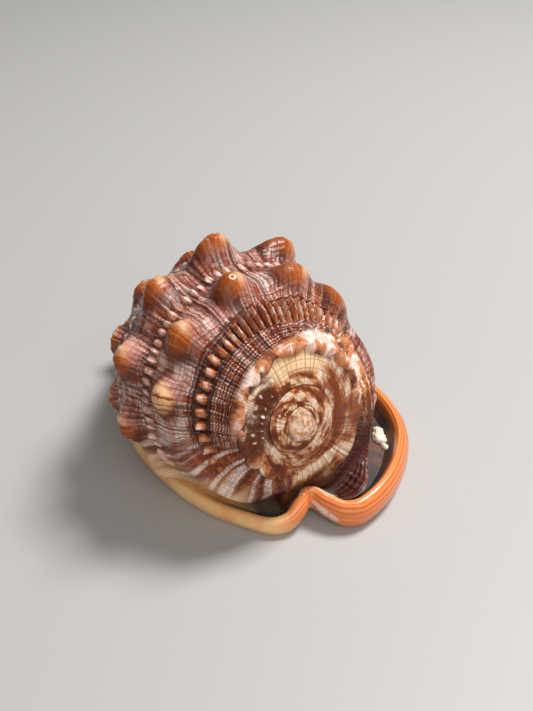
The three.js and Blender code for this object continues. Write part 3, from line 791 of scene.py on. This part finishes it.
def whorl_finish(paint):
    """Mauve and mahogany plaid, with caramel knobs, pale beads and a cream glaze low down."""
    finish = Finish("whorl_glaze")
    turn, at = finish.parts("spiral")
    knob, bead = finish.parts("relief")
    glaze, shadow = finish.parts("shade")
    shaded_flank, lit_flank = finish.parts("tone")
    degrees = turn * TURN

    def cloud(round_coil, over_whorl, start, detail=2.0, roughness=0.5):
        spread = finish.vector(turn * round_coil, at * over_whorl, start)
        return finish.noise(spread, 1.0, detail, roughness)

    patches = cloud(16.0, 8.0, 0.0, 3.0, 0.6)
    spots = cloud(64.0, 30.0, 4.0)
    tints = cloud(9.0, 14.0, 9.0)
    fields = cloud(20.0, 11.0, 15.0)
    blotches = cloud(19.0, 10.0, 2.0, 3.0, 0.6)
    ruffle = cloud(110.0, 46.0, 7.0, 1.0) - 0.5
    wavy = degrees + ruffle * 2.4
    crossed = at + ruffle * 0.007
    ramp = at.band(*RAMP_BAND)
    teeth_row = at.band(*TEETH_BAND)
    cords = at.band(*CORD_BANDS[0]).most(at.band(*CORD_BANDS[1]))
    weave = ramp.most(cords * 0.6)
    thick = fields.step(0.42, 0.6)
    early = 1 - degrees.step(*EARLY_END)
    last = degrees.step(*LAST_START) * (1 - at.step(0.33, 0.38))

    axial = wavy.ripple(2.25, patches * 9.0) * 0.3 + wavy.streaks(0.9, 2.0) * 0.7
    spiral = crossed.ripple(0.0118, spots * 2.5) * 0.35 + crossed.streaks(95.0, 2.0) * 0.65
    axial_edge = 0.37 + thick * 0.11 + weave * 0.04 - early * 0.08
    spiral_edge = 0.3 + thick * 0.06 + weave * 0.14 - early * 0.08
    axial_lines = 1 - axial.step(axial_edge - 0.05, axial_edge + 0.06)
    spiral_lines = 1 - spiral.step(spiral_edge - 0.05, spiral_edge + 0.07)
    between = (1 - axial_lines * 0.5) * (1 - spiral_lines)
    broad_axial = degrees.streaks(0.16, 2.0, 0.5, 40.0)
    broad_spiral = at.streaks(24.0, 2.0, 0.5, 3.0)
    flames = (degrees + at * 60.0).streaks(0.1, 2.0, 0.5, 21.0)

    lay = finish.start_from(paint.mauve)
    lay(paint.rose, patches.step(0.38, 0.52) * 0.9)
    lay(paint.pearl, (1 - fields.step(0.42, 0.54)) * tints.step(0.44, 0.54) * 0.9)
    brown = broad_axial.step(0.47, 0.56).most(tints.step(0.52, 0.6))
    lay(paint.russet, brown * (0.45 + ramp * 0.5))
    lay(paint.pearl, between * spots.step(0.44, 0.54) * (1 - early)
        * (ramp * (0.78 - brown * 0.5)).most(0.3))
    lay(paint.russet, broad_axial.step(0.5, 0.6) * broad_spiral.step(0.44, 0.56) * 0.8)
    lay(paint.pearl, early * (1 - flames.step(0.42, 0.5)) * 0.95)
    lay(paint.russet, early * flames.step(0.45, 0.51) * 0.85)
    lay(paint.mahogany, early * flames.step(0.53, 0.6) * 0.7)
    lay(paint.amber, ramp * spots.step(0.52, 0.6) * 0.55)
    # Chestnut on the knobs, strongest on the near flank: the knobs' own dark brown and painted shade.
    lay(paint.chestnut, knob.step(0.06, 0.4) * (0.45 + shaded_flank * 0.55))
    # Rose on the far flank is painted light.
    lay(paint.rose, knob.step(0.1, 0.5) * lit_flank * 0.8)
    lines = (axial_lines * (0.66 + weave * 0.28 - ramp * 0.42 - early * 0.3)).most(
        spiral_lines * (0.36 + weave * 0.5 - early * 0.3))
    lay(paint.mahogany, lines)
    dark_stripes = (1 - broad_axial.step(0.4, 0.48)) * (1 - early * 0.6)
    lay(paint.mahogany, dark_stripes * 0.78)
    fine = wavy.streaks(2.6, 1.0, 0.5, 31.0)
    lay(paint.chestnut, (1 - fine.step(0.4, 0.56)) * 0.45)
    lay(paint.mahogany, cords * (1 - early) * 0.45)
    gaps = teeth_row * (1 - bead.step(0.04, 0.3)) * (1 - early) * (1 - last)
    lay(paint.mahogany, gaps * 0.95)
    crown = knob.step(0.36, 0.8) * (0.94 - lit_flank * 0.7 - shaded_flank * 0.55)
    lay(paint.caramel, crown)
    grain = wavy.streaks(0.45, 2.0, 0.6, 13.0)
    lay(paint.chestnut, crown * (1 - grain.step(0.34, 0.54)) * 0.6)
    # Cream on the knob tips: painted highlight on the far flank, and pale streaks of the grain.
    lay(paint.cream, knob.step(0.55, 0.95)
        * (lit_flank.step(0.1, 0.5) * 0.5).most(grain.step(0.58, 0.7) * 0.2))
    pale_knob = degrees.band(*PALE_KNOB) * (1 - at.step(0.43, 0.47))
    lay(paint.cream, pale_knob * knob.step(0.45, 0.8) * grain.step(0.36, 0.54) * 0.6)
    brown_tooth = teeth_row * (1 - degrees.step(-50.0, -15.0) * spots.step(0.42, 0.55))
    lay(paint.amber, bead.step(0.12, 0.45) * (teeth_row.most(tints.step(0.5, 0.58))) * 0.8)
    lay(paint.caramel, bead.step(0.12, 0.4) * brown_tooth * (1 - bead.step(0.6, 0.95) * 0.7)
        * 0.8)
    lay(paint.rose, bead.step(0.2, 0.6) * (0.65 - teeth_row * 0.5))
    lay(paint.pearl, bead.step(0.45, 0.95) * spots.step(0.4, 0.56) * (0.85 - brown_tooth * 0.35))
    lay(paint.chestnut, teeth_row * degrees.step(-35.0, 0.0) * 0.45)
    lay(paint.plum, last * (0.86 + axial_lines * 0.14))

    fold_end = 0.145 + degrees.step(5.0, 45.0) * 0.055 + degrees.step(48.0, 75.0) * 0.11
    fold = at.step(0.066, 0.078) * (1 - at.step(fold_end - 0.025, fold_end)) * (1 - last)
    fold = fold * degrees.step(-96.0, -66.0)
    fold_paint = (
        finish.colour(paint.pearl)
        .layer(paint.rose, spots.step(0.42, 0.56) * 0.6)
        .layer(paint.amber, blotches.step(0.42, 0.5) * 0.9)
        .layer(paint.chestnut, blotches.step(0.52, 0.6) * 0.85)
        .layer(paint.mahogany, axial_lines * 0.22))
    lay(fold_paint, fold * 0.92)
    away = finish.start.node("ShaderNodeVectorMath", {"operation": "DISTANCE"},
                             {0: finish.place(), 1: KNOB_MARK}, 1)
    lay(paint.pearl, away.band(*MARK_RING) * 0.8)
    lay(paint.mahogany, shadow * 0.88)
    lay(paint.cream, glaze * (0.8 + patches * 0.2))

    threads = (axial + spiral) * (1 - glaze) * (1 - fold * 0.7)
    normal = finish.bump(threads, 0.45, 0.0004)
    return finish.feed(base_color=finish.ground, roughness=0.27 + last * 0.18, coat_weight=0.1,
                       coat_roughness=0.1, specular_ior_level=0.16, normal=normal)


def spire_finish(paint):
    """White and cream whorls with chestnut blotches, painted shade along the sutures and an amber apex.
    """
    finish = Finish("spire_glaze")
    turn, across = finish.parts("spiral")
    nodule, apex = finish.parts("relief")
    shadow, _ = finish.parts("shade")
    degrees = turn * TURN
    path = across + turn.math("FLOOR", turn) * 7.0
    axial = degrees.streaks(0.5, 2.0)
    spiral = path.streaks(14.0, 2.0)
    blotches = finish.noise(finish.vector(turn * 10.0 + across * 1.0, path * 1.7), 1.0, 3.0, 0.6)
    bands = degrees.streaks(0.055, 2.0, 0.5, 11.0)
    lines = (1 - axial.step(0.38, 0.48)).most((1 - spiral.step(0.36, 0.44)) * 0.8)
    lay = finish.start_from(paint.ivory)
    lay(paint.tan, bands.step(0.42, 0.56) * 0.45)
    slanted = (degrees + across * 34.0).streaks(0.085, 2.0, 0.5, 5.0)
    lay(paint.amber, blotches.step(0.42, 0.51) * 0.8)
    lay(paint.chestnut, slanted.step(0.54, 0.62) * 0.4)
    lay(paint.chestnut, blotches.step(0.49, 0.57) * 0.95)
    dark_side = degrees.band(*DARK_SIDE)
    lay(paint.umber, dark_side * blotches.step(0.3, 0.44) * 0.93)
    pale_side = degrees.band(*PALE_SIDE)
    lay(paint.tan, pale_side * across.step(0.35, 0.6) * 0.85)
    lay(paint.umber, blotches.step(0.56, 0.66) * 0.85)
    fine = degrees.streaks(1.9, 1.0, 0.5, 3.0)
    outer = 1 - apex
    lay(paint.chestnut, (1 - fine.step(0.38, 0.56)) * outer * 0.48)
    lay(paint.chestnut, lines * outer * 0.5)
    lip_side = degrees.band(*LIP_SIDE)
    lay(paint.chestnut, lip_side * blotches.step(0.34, 0.52) * 0.7)
    lay(paint.ivory, nodule.step(0.3, 0.75) * 0.95)
    # Painted shade in the sutures along both edges of the strip.
    edge = (1 - across.step(0.0, 0.05)).most(across.step(0.965, 1.0))
    lay(paint.umber, edge * 0.85)
    swirl = finish.noise(finish.place(), 620.0, 1.0)
    lay(paint.ivory, apex * 0.9)
    lay(paint.amber, apex * swirl.step(0.4, 0.58) * 0.85)
    lay(paint.umber, shadow * 0.92)
    normal = finish.bump(axial + spiral, 0.4, 0.0005)
    return finish.feed(base_color=finish.ground, roughness=0.3, coat_weight=0.1,
                       coat_roughness=0.1, specular_ior_level=0.16, normal=normal)


def rim_finish(paint):
    """Orange lip with paler lengthwise streaks, cream shield and painted shade in the trough."""
    finish = Finish("rim_enamel")
    along, section = finish.parts("spiral")
    orange_share, worn = finish.parts("relief")
    trough, _ = finish.parts("shade")
    waver = finish.noise(finish.vector(along * 30.0, section * 2.0), 1.0, 1.0)
    streaks = (section + waver * 0.03).streaks(30.0, 2.0, 0.6)
    clouds = finish.noise(finish.place(), 90.0, 3.0)
    grains = finish.noise(finish.place(), 420.0, 3.0, 0.6)
    lay = finish.start_from(paint.shield)
    lay(paint.peach, clouds.step(0.44, 0.6) * 0.65)
    lay(paint.orange, orange_share)
    lay(paint.peach, streaks.step(0.5, 0.64) * orange_share * 0.6)
    lay(paint.rust, (1 - streaks.step(0.34, 0.44)) * orange_share * 0.6)
    lay(paint.pearly, (worn * 1.6 * grains.step(0.3, 0.46)).step(0.25, 0.75) * 0.9)
    # Painted shade in the trough between the lip and the whorl.
    lay(paint.shade_and_specks, trough * (0.9 + clouds.step(0.35, 0.55) * 0.1))
    specks = worn.step(0.8, 1.0) * (1 - grains.step(0.36, 0.44))
    lay(paint.shade_and_specks, specks * 0.7)
    normal = finish.bump(streaks, 0.25, 0.0005)
    return finish.feed(base_color=finish.ground, roughness=0.24 + trough * 0.45,
                       coat_weight=0.3 - trough * 0.3, coat_roughness=0.08, normal=normal)


def hollow_finish(paint):
    """Pale enamel inside the mouth."""
    finish = Finish("chamber_enamel")
    return finish.feed(base_color=opaque(paint.inside), roughness=0.35, coat_weight=0.2,
                       coat_roughness=0.15)


def colour(name, description, default):
    """A colour that a user can change."""
    return FloatVectorProperty(name=name, description=description, default=default,
                               subtype="COLOR", size=3)


class WhorlSettings(bpy.types.PropertyGroup):
    """Growth and colours of the outer whorl."""

    growth_per_turn: FloatProperty(
        name="Growth per turn", description="How many times larger each turn of the coil is",
        default=1.9, min=1.2, max=3.0)
    axis_tilt: FloatProperty(
        name="Axis tilt", description="How far the coil's axis dips towards the canal",
        default=math.radians(15.0), subtype="ANGLE", unit="ROTATION")
    fullness: FloatProperty(
        name="Fullness", description="How far the sides of the spire's whorls bulge",
        default=1.6 * MILLIMETRE, subtype="DISTANCE", unit="LENGTH")
    # Mahogany also paints the shade low on the whorl and beside the notch.
    mahogany: colour("Mahogany", "Darkest lines of the plaid", (0.048, 0.01, 0.005))
    russet: colour("Russet", "Brown patches between the lines", (0.28, 0.045, 0.01))
    # Chestnut also paints the shade on the near flanks of the knobs.
    chestnut: colour("Chestnut", "Flanks of the knobs", (0.11, 0.019, 0.005))
    mauve: colour("Mauve", "Ground colour between the lines", (0.42, 0.105, 0.062))
    # Rose also paints the light on the far flanks of the knobs.
    rose: colour("Rose", "Lighter patches of the ground", (0.82, 0.42, 0.34))
    pearl: colour("Pearl", "Whitest dashes and beads", (0.97, 0.78, 0.68))
    caramel: colour("Caramel", "Glossy knobs", (0.4, 0.085, 0.006))
    amber: colour("Amber", "Beads and teeth", (0.56, 0.17, 0.03))
    # Cream also paints highlights on the far flanks of the knobs.
    cream: colour("Cream", "Knob tips and the glaze beside the shield", (0.92, 0.58, 0.3))
    plum: colour("Plum", "Last stretch of the ramp, beside the lip", (0.058, 0.013, 0.01))


class SpireSettings(bpy.types.PropertyGroup):
    """Colours of the spire."""

    ivory: colour("Ivory", "Ground colour of the spire", (0.96, 0.76, 0.57))
    tan: colour("Tan", "Warmer stretches of the spire", (0.94, 0.66, 0.36))
    chestnut: colour("Chestnut", "Blotches and lines", (0.19, 0.038, 0.009))
    # Umber also paints the shade in the sutures and beside the notch.
    umber: colour("Umber", "Darkest blotches and sutures", (0.055, 0.012, 0.006))
    amber: colour("Amber", "Apex of the spire", (0.6, 0.18, 0.02))


class RimSettings(bpy.types.PropertyGroup):
    """Colours of the lip, shield and chamber."""

    orange: colour("Orange", "Rolled lip", (0.8, 0.195, 0.038))
    peach: colour("Peach", "Paler streaks of the lip", (0.92, 0.38, 0.13))
    rust: colour("Rust", "Darker streaks of the lip", (0.6, 0.1, 0.018))
    shield: colour("Shield", "Cream shield", (0.95, 0.58, 0.25))
    pearly: colour("Worn", "Worn edge of the lip", (0.88, 0.74, 0.62))
    # The trough colour is painted shade; the same colour paints the dark specks on the grit.
    shade_and_specks: colour("Trough", "Trough between the lip and the whorl", (0.034, 0.022, 0.018))
    inside: colour("Inside", "Enamel inside the chamber", (0.8, 0.52, 0.36))


class StageSettings(bpy.types.PropertyGroup):
    """Floor and light."""

    floor: colour("Floor", "Colour of the floor", (0.42, 0.41, 0.395))
    key_power: FloatProperty(
        name="Key light", description="Power of the large soft light",
        default=23.0, unit="POWER")
    sky: FloatProperty(
        name="Sky", description="Strength of the light from all round",
        default=0.2, min=0.0)


class SHELL_OT_outer_whorl(bpy.types.Operator):
    """Shapes the outer whorl with its knobs, beads, teeth and suture fold"""

    bl_idname = "shell.outer_whorl"
    bl_label = "Outer whorl"

    def execute(self, context):
        settings = context.scene.shell_whorl
        rows = np.concatenate([np.linspace(*span) for span in
                               (SUTURE_ROWS, RAMP_ROWS, OUTER_ROWS)])
        at = rows[:, None]
        angle = np.linspace(FIRST_ANGLE, FIRST_ANGLE + TURN, WHORL_COLUMNS + 1)[None, :]
        points, knob, bead = whorl_surface(angle, at, settings)
        points[:, -1] = points[:, 0]
        inner = coil_points(0.0, 0.0, WHORL_ROOT, settings)
        canal_end = whorl_surface(np.zeros((1, 1)), np.ones((1, 1)), settings)[0][0, 0]
        low = 1 - smooth(points[..., 2] + 4 * wander(angle, 61, 40.0), *GLAZE_HEIGHTS)
        shield_side = smooth(-points[..., 0], *SHIELD_SIDE)
        glaze = low * shield_side
        shadow = (1 - smooth(points[..., 2], *SHADED_HEIGHTS)) * (1 - shield_side)
        maps = make_maps(
            points, spiral=(angle / TURN, at), relief=(knob, bead),
            shade=(glaze, np.maximum(shadow, notch_shadow(points))),
            tone=knob_sides(angle, at))
        maps = {label: with_end_rows(values) for label, values in maps.items()}
        shape_grid(PIECE, with_hubs(points, inner, canal_end), maps, whorl_finish(settings))
        return {"FINISHED"}


def spire_grid(settings):
    """Points of the spiral strip, closed round its edges, and their maps."""
    columns = round(SPIRE_TURNS * TURN / SPIRE_STEP)
    per_turn = round(TURN / SPIRE_STEP)
    number = np.arange(columns + 1)[None, :]
    angle = FIRST_ANGLE - (columns - number) * SPIRE_STEP
    across = 0.5 - 0.5 * np.cos(np.linspace(0, math.pi, SPIRE_ROWS + 1))[:, None]
    size = growth(angle, settings)
    smooth_radius = SUTURE_RADIUS * size * settings.growth_per_turn ** across
    inside = np.sin(math.pi * across).clip(0) ** 0.8
    from_front = (angle - NODULES_FRONT) % TURN
    front = hump(from_front, 0, NODULES_SPREAD) + hump(from_front, TURN, NODULES_SPREAD)
    seen = 0.35 + 0.65 * front
    nodules = np.maximum(*(
        bead_wave(angle, spacing, seed, 1.4) * hump(across, middle, half_length)
        * (0.75 + 0.3 * wander(angle, seed + 7, period))
        for spacing, seed, middle, half_length, period in NODULE_ROWS)) * seen
    ribs = RIB_HEIGHT * bead_wave(angle, RIB_SPACING, 53, 1.0)
    lip = SUTURE_LIP * smooth(across, 0.35, 0.95)
    uneven = 0.25 * wander(angle, 55, 23.0) + 0.2 * wander(angle, 57, 9.0)
    raised = ((NODULE_HEIGHT * nodules + ribs + uneven) * inside + lip) * size
    raised = np.where((across > 0) & (across < 1), raised, 0)
    outer = angle + TURN
    free = (number + per_turn > columns) * smooth(outer, FIRST_ANGLE, FIRST_ANGLE + 12)
    free = free * spire_stands_above(outer)
    raised = raised + 0.9 * free * smooth(across, 0.72, 0.95)
    reach = (1.9 * scallops(outer) - 0.2) * free * smooth(across, 0.75, 1.0)
    radius = smooth_radius + reach
    depth = spire_depth(smooth_radius, size, settings)
    points = stand_back(coil_points(angle, radius, depth - raised, settings))
    tip = np.broadcast_to(coil_points(0.0, 0.0, 0.0, settings), points[:1].shape)
    root = np.broadcast_to(coil_points(0.0, 0.0, SPIRE_ROOT, settings), points[:1].shape)
    before = np.where((number < per_turn)[..., None], tip, points[:1])
    after = np.where((number + per_turn > columns)[..., None], root, points[-1:])
    points = np.concatenate((before, points, after))
    start = np.broadcast_to(tip[:, :1], points[:, :1].shape)
    end = np.broadcast_to(root[:, :1], points[:, :1].shape)
    points = np.concatenate((start, points, end), axis=1)
    apex = 1 - smooth(radius, *APEX_RADII)
    strip = points[1:-1, 1:-1]
    maps = make_maps(strip, spiral=(angle / TURN, across), relief=(nodules * inside, apex),
                     shade=(notch_shadow(strip), 0.0))
    for label, values in maps.items():
        values = with_end_rows(values)
        maps[label] = np.concatenate((values[:, :1], values, values[:, -1:]), axis=1)
    return points, maps


class SHELL_OT_spire(bpy.types.Operator):
    """Shapes the spire as a spiral strip and joins it to the outer whorl"""

    bl_idname = "shell.spire"
    bl_label = "Spire"

    def execute(self, context):
        points, maps = spire_grid(context.scene.shell_whorl)
        piece = shape_grid("spire", points, maps, spire_finish(context.scene.shell_spire))
        combine(bpy.data.objects[PIECE], piece, "UNION")
        return {"FINISHED"}


def rim_points(settings):
    """Points of the rim in rings round the mouth, and the place of each along and across it."""
    count = len(RIM_STATIONS)
    padded = RIM_STATIONS[np.arange(-3, count + 3) % count]
    places = np.arange(-3, count + 3, dtype=float)
    along = np.arange(RIM_COLUMNS) * count / RIM_COLUMNS
    x, y, edge, crest, roll, trough = (through(places, values, along) for values in padded.T)
    tangent = np.stack((np.roll(x, -1) - np.roll(x, 1), np.roll(y, -1) - np.roll(y, 1)))
    tangent /= np.hypot(*tangent)
    rows = np.linspace(0, len(RIM_SECTION) - 1, RIM_ROWS)
    section = [through(np.arange(len(RIM_SECTION), dtype=float), values, rows)[:, None]
               for values in RIM_SECTION.T]
    roll_share, inward, edge_share, crest_share, trough_share, lift = section
    distance = roll * roll_share + inward
    height = edge * edge_share + crest * crest_share + trough * trough_share + lift
    grooves = 0.16 * np.sin(rows[:, None] * 9.0 + 0.5 * np.sin(along * 0.9))
    lip = 1 - smooth(along, 11.5, 13.5)
    distance = distance + grooves * lip * smooth(rows, 1.5, 2.5)[:, None]
    rings = from_tip(x - tangent[1] * distance, y + tangent[0] * distance, height)
    middle = (MOUTH_MIDDLE_X, (MOUTH_FROM + MOUTH_TO) / 2)

    def inner_ring(share, level):
        return from_tip(blend(middle[0], x, share), blend(middle[1], y, share), level)[None]

    rings = np.concatenate((inner_ring(0.35, MOUTH_HEIGHT), inner_ring(0.7, MOUTH_HEIGHT * 0.6),
                            rings, inner_ring(0.6, TROUGH_FLOOR)))
    across = np.concatenate(([-2.0, -1.0], rows, [len(RIM_SECTION)])) / len(RIM_SECTION)
    hub = (TIP[0] + middle[0], TIP[1] + middle[1])
    rings = with_hubs(close_round(rings), (*hub, MOUTH_HEIGHT), (*hub, TROUGH_FLOOR))
    along = np.append(along, count)[None, :]
    return rings, along, with_end_rows(across[:, None])


def canal_points():
    """Points of the canal in rings from the mouth end to its upturned tip."""
    places = np.arange(len(CANAL_SECTIONS), dtype=float)
    rows = np.linspace(0, places[-1], CANAL_RINGS)
    x, y, z, wide, high = (through(places, values, rows) for values in CANAL_SECTIONS.T)
    centre = np.stack((x, y, z), axis=-1)
    along = np.gradient(centre, axis=0)
    along /= np.linalg.norm(along, axis=1, keepdims=True)
    side = np.array((1.0, 0.0, 0.0)) - along * along[:, :1]
    side /= np.linalg.norm(side, axis=1, keepdims=True)
    up = np.cross(side, along)
    swing = np.linspace(0, 2 * math.pi, CANAL_SIDES + 1)[None, :, None]
    rings = (centre[:, None] + side[:, None] * wide[:, None, None] * np.cos(swing)
             + up[:, None] * high[:, None, None] * np.sin(swing))
    rings = rings + np.array((TIP[0], TIP[1], 0.0))
    rings[:, -1] = rings[:, 0]
    mouth = rings[-1].mean(axis=0)
    dish = [mouth + (rings[-1] - mouth) * share - along[-1] * deep for share, deep in CANAL_DISH]
    rings = np.concatenate((rings, dish))
    return with_caps(rings, rings)


def lump_points(centre, half, rough):
    """Points of a small uneven lump in rings from its bottom to its top."""
    climb = np.linspace(-90, 90, LUMP_RINGS + 2)[1:-1, None]
    swing = np.linspace(0, TURN, LUMP_SIDES + 1)[None, :]
    out = 1 + rough * 0.4 * wander(swing, 71, TURN / 3) * wander(climb + 90, 73, 70.0)
    out[:, -1] = out[:, 0]
    climb, swing = np.radians(climb), np.radians(swing)
    rings = np.stack((np.cos(climb) * np.cos(swing), np.cos(climb) * np.sin(swing),
                      np.sin(climb) + 0 * swing), axis=-1) * out[..., None]
    rings = rings * np.array(half) + np.array(centre)
    return with_caps(rings, rings)


class SHELL_OT_rim(bpy.types.Operator):
    """Shapes the rolled lip, the shield's edge and the canal and joins them to the whorl"""

    bl_idname = "shell.rim"
    bl_label = "Rim and canal"

    def execute(self, context):
        points, along, across = rim_points(context.scene.shell_whorl)
        finish = rim_finish(context.scene.shell_rim)
        lip = window(along, *LIP_SPAN)
        by_notch = smooth(along, *NOTCH_START) * (0.4 + 0.6 * smooth(across, 0.16, 0.3))
        orange = np.clip(lip + by_notch * 0.9, 0, 1) * smooth(across, 0.05, 0.2)
        count = len(RIM_STATIONS)
        from_notch = (along + count / 2) % count - count / 2
        glazed = hump(from_notch, *GLAZED_PLACE) * smooth(across, 0.6, 0.7)
        orange = orange * (1 - glazed)
        edge = hump(along, *WORN_PLACE) * hump(across, 0.33 - 0.04 * along, 0.07)
        worn = np.maximum(edge, glazed * 0.5)
        open_trough = 1 - window(along, *CLOSED_SPAN)
        # Where the trough is painted with shade.
        trough = smooth(across, 0.7, 0.8) * open_trough
        maps = make_maps(points, spiral=(along / count, across), relief=(orange, worn),
                         shade=(trough, 0.0))
        piece = shape_grid("rim", points, maps, finish)
        combine(bpy.data.objects[PIECE], piece, "UNION")
        plain = [("canal", canal_points(), 0.35, 0.0)]
        plain += [("lump", lump_points(*lump), 0.0, 0.9) for lump in LUMPS]
        for name, points, orange, worn in plain:
            maps = make_maps(points, spiral=(0.45, 0.5), relief=(orange, worn))
            piece = shape_grid(name, points, maps, finish)
            combine(bpy.data.objects[PIECE], piece, "UNION")
        return {"FINISHED"}


def chamber_points(settings):
    """Sections of the chamber that follow the whorl at the thickness of its wall."""
    angle = np.array(CHAMBER_ANGLES, dtype=float)[:, None]
    at = np.linspace(*CHAMBER_ACROSS, CHAMBER_ROWS)[None, :]
    radius, depth = whorl_section(angle, at, settings)
    depth = np.maximum(depth, CHAMBER_TOP + 6 * (at - CHAMBER_ACROSS[0]))
    outer = coil_points(angle, radius - CHAMBER_WALL, depth, settings)
    inner = coil_points(angle, (radius - CHAMBER_WALL) * CHAMBER_INNER_SHARE, depth, settings)
    rings = np.concatenate((outer, inner[:, ::-1]), axis=1)
    rings[..., 2] = keep_above(CHAMBER_FLOOR, rings[..., 2])
    return with_caps(rings, close_round(rings))


def slit_points():
    """Rectangular sections of the mouth slit, fluted along both of its sides."""
    y = np.arange(MOUTH_FROM, MOUTH_TO + 0.01, TOOTH_SPACING / 8)
    share = (y - MOUTH_FROM) / (MOUTH_TO - MOUTH_FROM)
    middle = MOUTH_MIDDLE_X + MOUTH_BOW * np.sin(math.pi * (share - 0.5))
    taper = np.sin(math.pi * np.clip(share, 0.0, 1.0)).clip(0) ** 0.35

    def side(spacing, depth):
        flute = depth * np.cos(2 * math.pi * (y - MOUTH_FROM) / spacing)
        return np.maximum((MOUTH_WIDTH / 2 + flute) * taper, 0.6)

    lip = middle + side(TOOTH_SPACING, TOOTH_DEPTH)
    fold = middle - side(FOLD_SPACING, FOLD_DEPTH)
    corners = ((fold, SLIT_BOTTOM), (lip, SLIT_BOTTOM), (lip, SLIT_TOP), (fold, SLIT_TOP))
    rings = np.stack([from_tip(x, y, z) for x, z in corners], axis=1)
    return with_caps(rings, close_round(rings))


class SHELL_OT_hollow(bpy.types.Operator):
    """Cuts the chamber and the toothed mouth, faces the underside and finishes the shell"""

    bl_idname = "shell.hollow"
    bl_label = "Chamber and mouth"

    def execute(self, context):
        shell = bpy.data.objects[PIECE]
        finish = hollow_finish(context.scene.shell_rim)
        for points in (chamber_points(context.scene.shell_whorl), slit_points()):
            hollow = shape_grid("hollow", points, make_maps(points), finish)
            combine(shell, hollow, "DIFFERENCE")
        deselect_all()
        bpy.ops.mesh.primitive_cube_add(size=BELOW_SIZE, location=(0, 0, -BELOW_SIZE / 2))
        below = bpy.context.active_object
        bpy.ops.object.transform_apply(location=True, rotation=False, scale=False)
        below.data.materials.append(bpy.data.materials["rim_enamel"])
        combine(shell, below, "DIFFERENCE")
        make_active(shell)
        bpy.ops.object.shade_smooth_by_angle(angle=math.radians(SHARP_ANGLE))
        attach(shell, "root")
        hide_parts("shell")
        return {"FINISHED"}


class SHELL_OT_stage(bpy.types.Operator):
    """Sets the floor, the soft light and the camera"""

    bl_idname = "shell.stage"
    bl_label = "Stage"

    def execute(self, context):
        settings = context.scene.shell_stage
        deselect_all()
        bpy.ops.mesh.primitive_plane_add(size=8.0)
        floor = bpy.context.active_object
        floor.name = "floor"
        finish = Finish("floor_paint")
        floor.data.materials.append(finish.feed(base_color=opaque(settings.floor),
                                                roughness=0.55))
        for place, width, share in LIGHTS:
            bpy.ops.object.light_add(type="AREA", location=place)
            light = bpy.context.active_object
            light.data.energy = settings.key_power * share
            light.data.size = width
            light.rotation_euler = (-Vector(place)).to_track_quat("-Z", "Y").to_euler()
        world = bpy.data.worlds.new("soft_sky")
        world.use_nodes = True
        background = world.node_tree.nodes["Background"]
        background.inputs["Color"].default_value = (1.0, 0.98, 0.95, 1.0)
        background.inputs["Strength"].default_value = settings.sky
        context.scene.world = world
        context.scene.view_settings.view_transform = "Standard"
        bpy.ops.object.camera_add(
            location=CAMERA_PLACE, rotation=[math.radians(turn) for turn in CAMERA_TURN])
        camera = bpy.context.active_object
        camera.data.sensor_width = 36.0
        camera.data.lens = CAMERA_LENS
        camera.data.clip_start = 0.01
        context.scene.camera = camera
        return {"FINISHED"}


class SHELL_PT_panel(bpy.types.Panel):
    """Sidebar panel of the shell's operators and settings"""

    bl_idname = "SHELL_PT_panel"
    bl_label = "Helmet shell"
    bl_space_type = "VIEW_3D"
    bl_region_type = "UI"
    bl_category = "Shell"

    def draw(self, context):
        layout = self.layout
        for operator in OPERATORS:
            layout.operator(operator.bl_idname)
        for label, group in GROUPS.items():
            box = layout.box()
            settings = getattr(context.scene, label)
            for name in group.__annotations__:
                box.prop(settings, name)


OPERATORS = (SHELL_OT_outer_whorl, SHELL_OT_spire, SHELL_OT_rim, SHELL_OT_hollow,
             SHELL_OT_stage)
GROUPS = {
    "shell_whorl": WhorlSettings,
    "shell_spire": SpireSettings,
    "shell_rim": RimSettings,
    "shell_stage": StageSettings,
}


def register():
    """Registers the settings, operators and panel."""
    for label, group in GROUPS.items():
        bpy.utils.register_class(group)
        setattr(bpy.types.Scene, label, PointerProperty(type=group))
    for operator in OPERATORS:
        bpy.utils.register_class(operator)
    bpy.utils.register_class(SHELL_PT_panel)


def unregister():
    """Takes the panel, operators and settings away again."""
    bpy.utils.unregister_class(SHELL_PT_panel)
    for operator in reversed(OPERATORS):
        bpy.utils.unregister_class(operator)
    for label, group in GROUPS.items():
        delattr(bpy.types.Scene, label)
        bpy.utils.unregister_class(group)


def main():
    """Builds the shell and its stage."""
    register()
    bpy.ops.shell.outer_whorl()
    bpy.ops.shell.spire()
    bpy.ops.shell.rim()
    bpy.ops.shell.hollow()
    bpy.ops.shell.stage()


if __name__ == "__main__":
    main()
